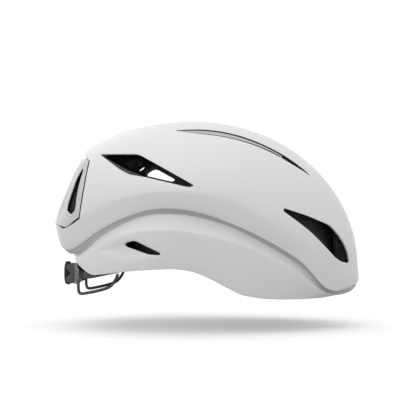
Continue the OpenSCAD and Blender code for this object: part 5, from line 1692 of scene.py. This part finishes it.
# %% The arms
pin_y, strip_off = 72.554, 3.3
strip_x, strip_in, strip_z = np.array([
    [29, 0.1, -9.2], [20, 0.2, -7.2], [8, 0, -4.5], [-20, 0, -1], [-48, 0, -1], [-68, 0.6, -4]]).T
bowl_y = head[1] * np.sqrt(1 - (strip_x / head[0]) ** 2 - (strip_z / head[2]) ** 2)
strip_y = np.minimum(pin_y, bowl_y - strip_off) - strip_in
arm_knots = [*np.column_stack([strip_x, strip_y, strip_z]), [-88, 43.5, -9.8], [-105, 43, -13.4],
             [-116, 42.3, -15.6], [-123.2, 41, dial_z]]
arm = swept(smooth_path(arm_knots, 150), flat_section(1.8, 7, 0.7))
for hand, side in (("left", 1), ("right", -1)):
    piece(f"arm_{hand}_moulded", *on_side(side, *arm), cradle_plastic, "cradle", f"arm_{hand}", 60)

# %% The neck loops
loop_route = [[-128.6, 36.6, -19.5], [-128.3, 37.1, -26], [-128, 37.6, -30.6], [-126, 38.2, -33.4],
              [-119, 39.4, -32.6], [-108, 41, -30.2], [-99, 42.4, -27], [-93.6, 43.2, -21],
              [-91, 43.4, -15]]
wire_half = [1.35, 1.45]


def wire_loop(path, section):
    """A round section carried along a path that bends up and down: its side is always +Y."""
    run = unit(np.gradient(path, axis=0))
    up = unit(np.cross([0, 1.0, 0], run))
    return capped(carried(path, section, np.cross(run, up), up))


loop = wire_loop(smooth_path(loop_route, 120), wire_half * polar(1, whole_turn(14)))
for hand, side in (("left", 1), ("right", -1)):
    piece(f"neck_loop_{hand}_wire", *on_side(side, *loop), cradle_plastic, "cradle",
          f"neck_loop_{hand}", 60)

# %% [markdown]
# ## The dial
# The dial is a hard disc with a rubber tyre that the fingers turn from behind. Both are turned
# forms whose radius has small lobes: a profile of (x, radius) is swung about the axis, and a wave
# of the angle is added where the grip is.


# %% The dial
def turned(profile, lobes, height, weight):
    """A profile of (x, r) swung about the dial's axis. At each angle the radius grows by height
    times a rounded wave of the lobes, times the profile point's weight."""
    angle = whole_turn(288)
    x, r = np.asarray(profile, float).T
    wave = height * (np.abs(np.cos(angle * lobes / 2)) ** 0.7 - 0.6)
    reach = r[:, None] + np.asarray(weight)[:, None] * wave[None, :]
    return np.stack([np.broadcast_to(x[:, None], reach.shape), reach * np.cos(angle),
                     dial_z + reach * np.sin(angle)], -1)


disc_profile = [(-137.9, 2.3), (-137.9, 7.4), (-138.2, 7.7), (-139.2, 7.7), (-139.3, 9.0),
                (-139.6, 9.3), (-144.3, 9.3), (-144.75, 9.1), (-144.85, 8.6), (-144.85, 6.7),
                (-144.7, 6.35), (-144.1, 6.2), (-143.9, 5.9), (-143.9, 1.2)]
rings = turned(disc_profile, 0, 0, [0] * len(disc_profile))
ends = [[disc_profile[k][0], 0, dial_z] for k in (0, -1)]
piece("dial_disc", *stacked(rings, *ends), cradle_plastic, "dial", "dial_knob", 35)
tyre_profile = [(-139.75, 9.35), (-139.6, 10.2), (-139.9, 10.75), (-140.6, 10.9), (-143.0, 10.9),
                (-143.8, 10.75), (-144.2, 10.3), (-144.3, 9.35)]
rings = turned(tyre_profile, 24, 0.55, [0, 0.4, 0.9, 1, 1, 0.9, 0.5, 0])
faces = ring_quads(*rings.shape[:2], closed=True).tolist()
piece("dial_tyre", rings.reshape(-1, 3), faces, grip_rubber, "dial", "dial_grip", 35)

# %% Finishes of the solids that stay
for name, finish in (("tether_posts", tether_rubber), ("pad_discs", hook_discs)):
    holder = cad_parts[name].material_slots[0]
    holder.link = "OBJECT"
    holder.material = finish
print("still shown as packed:", [n for n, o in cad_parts.items() if not o.hide_render])
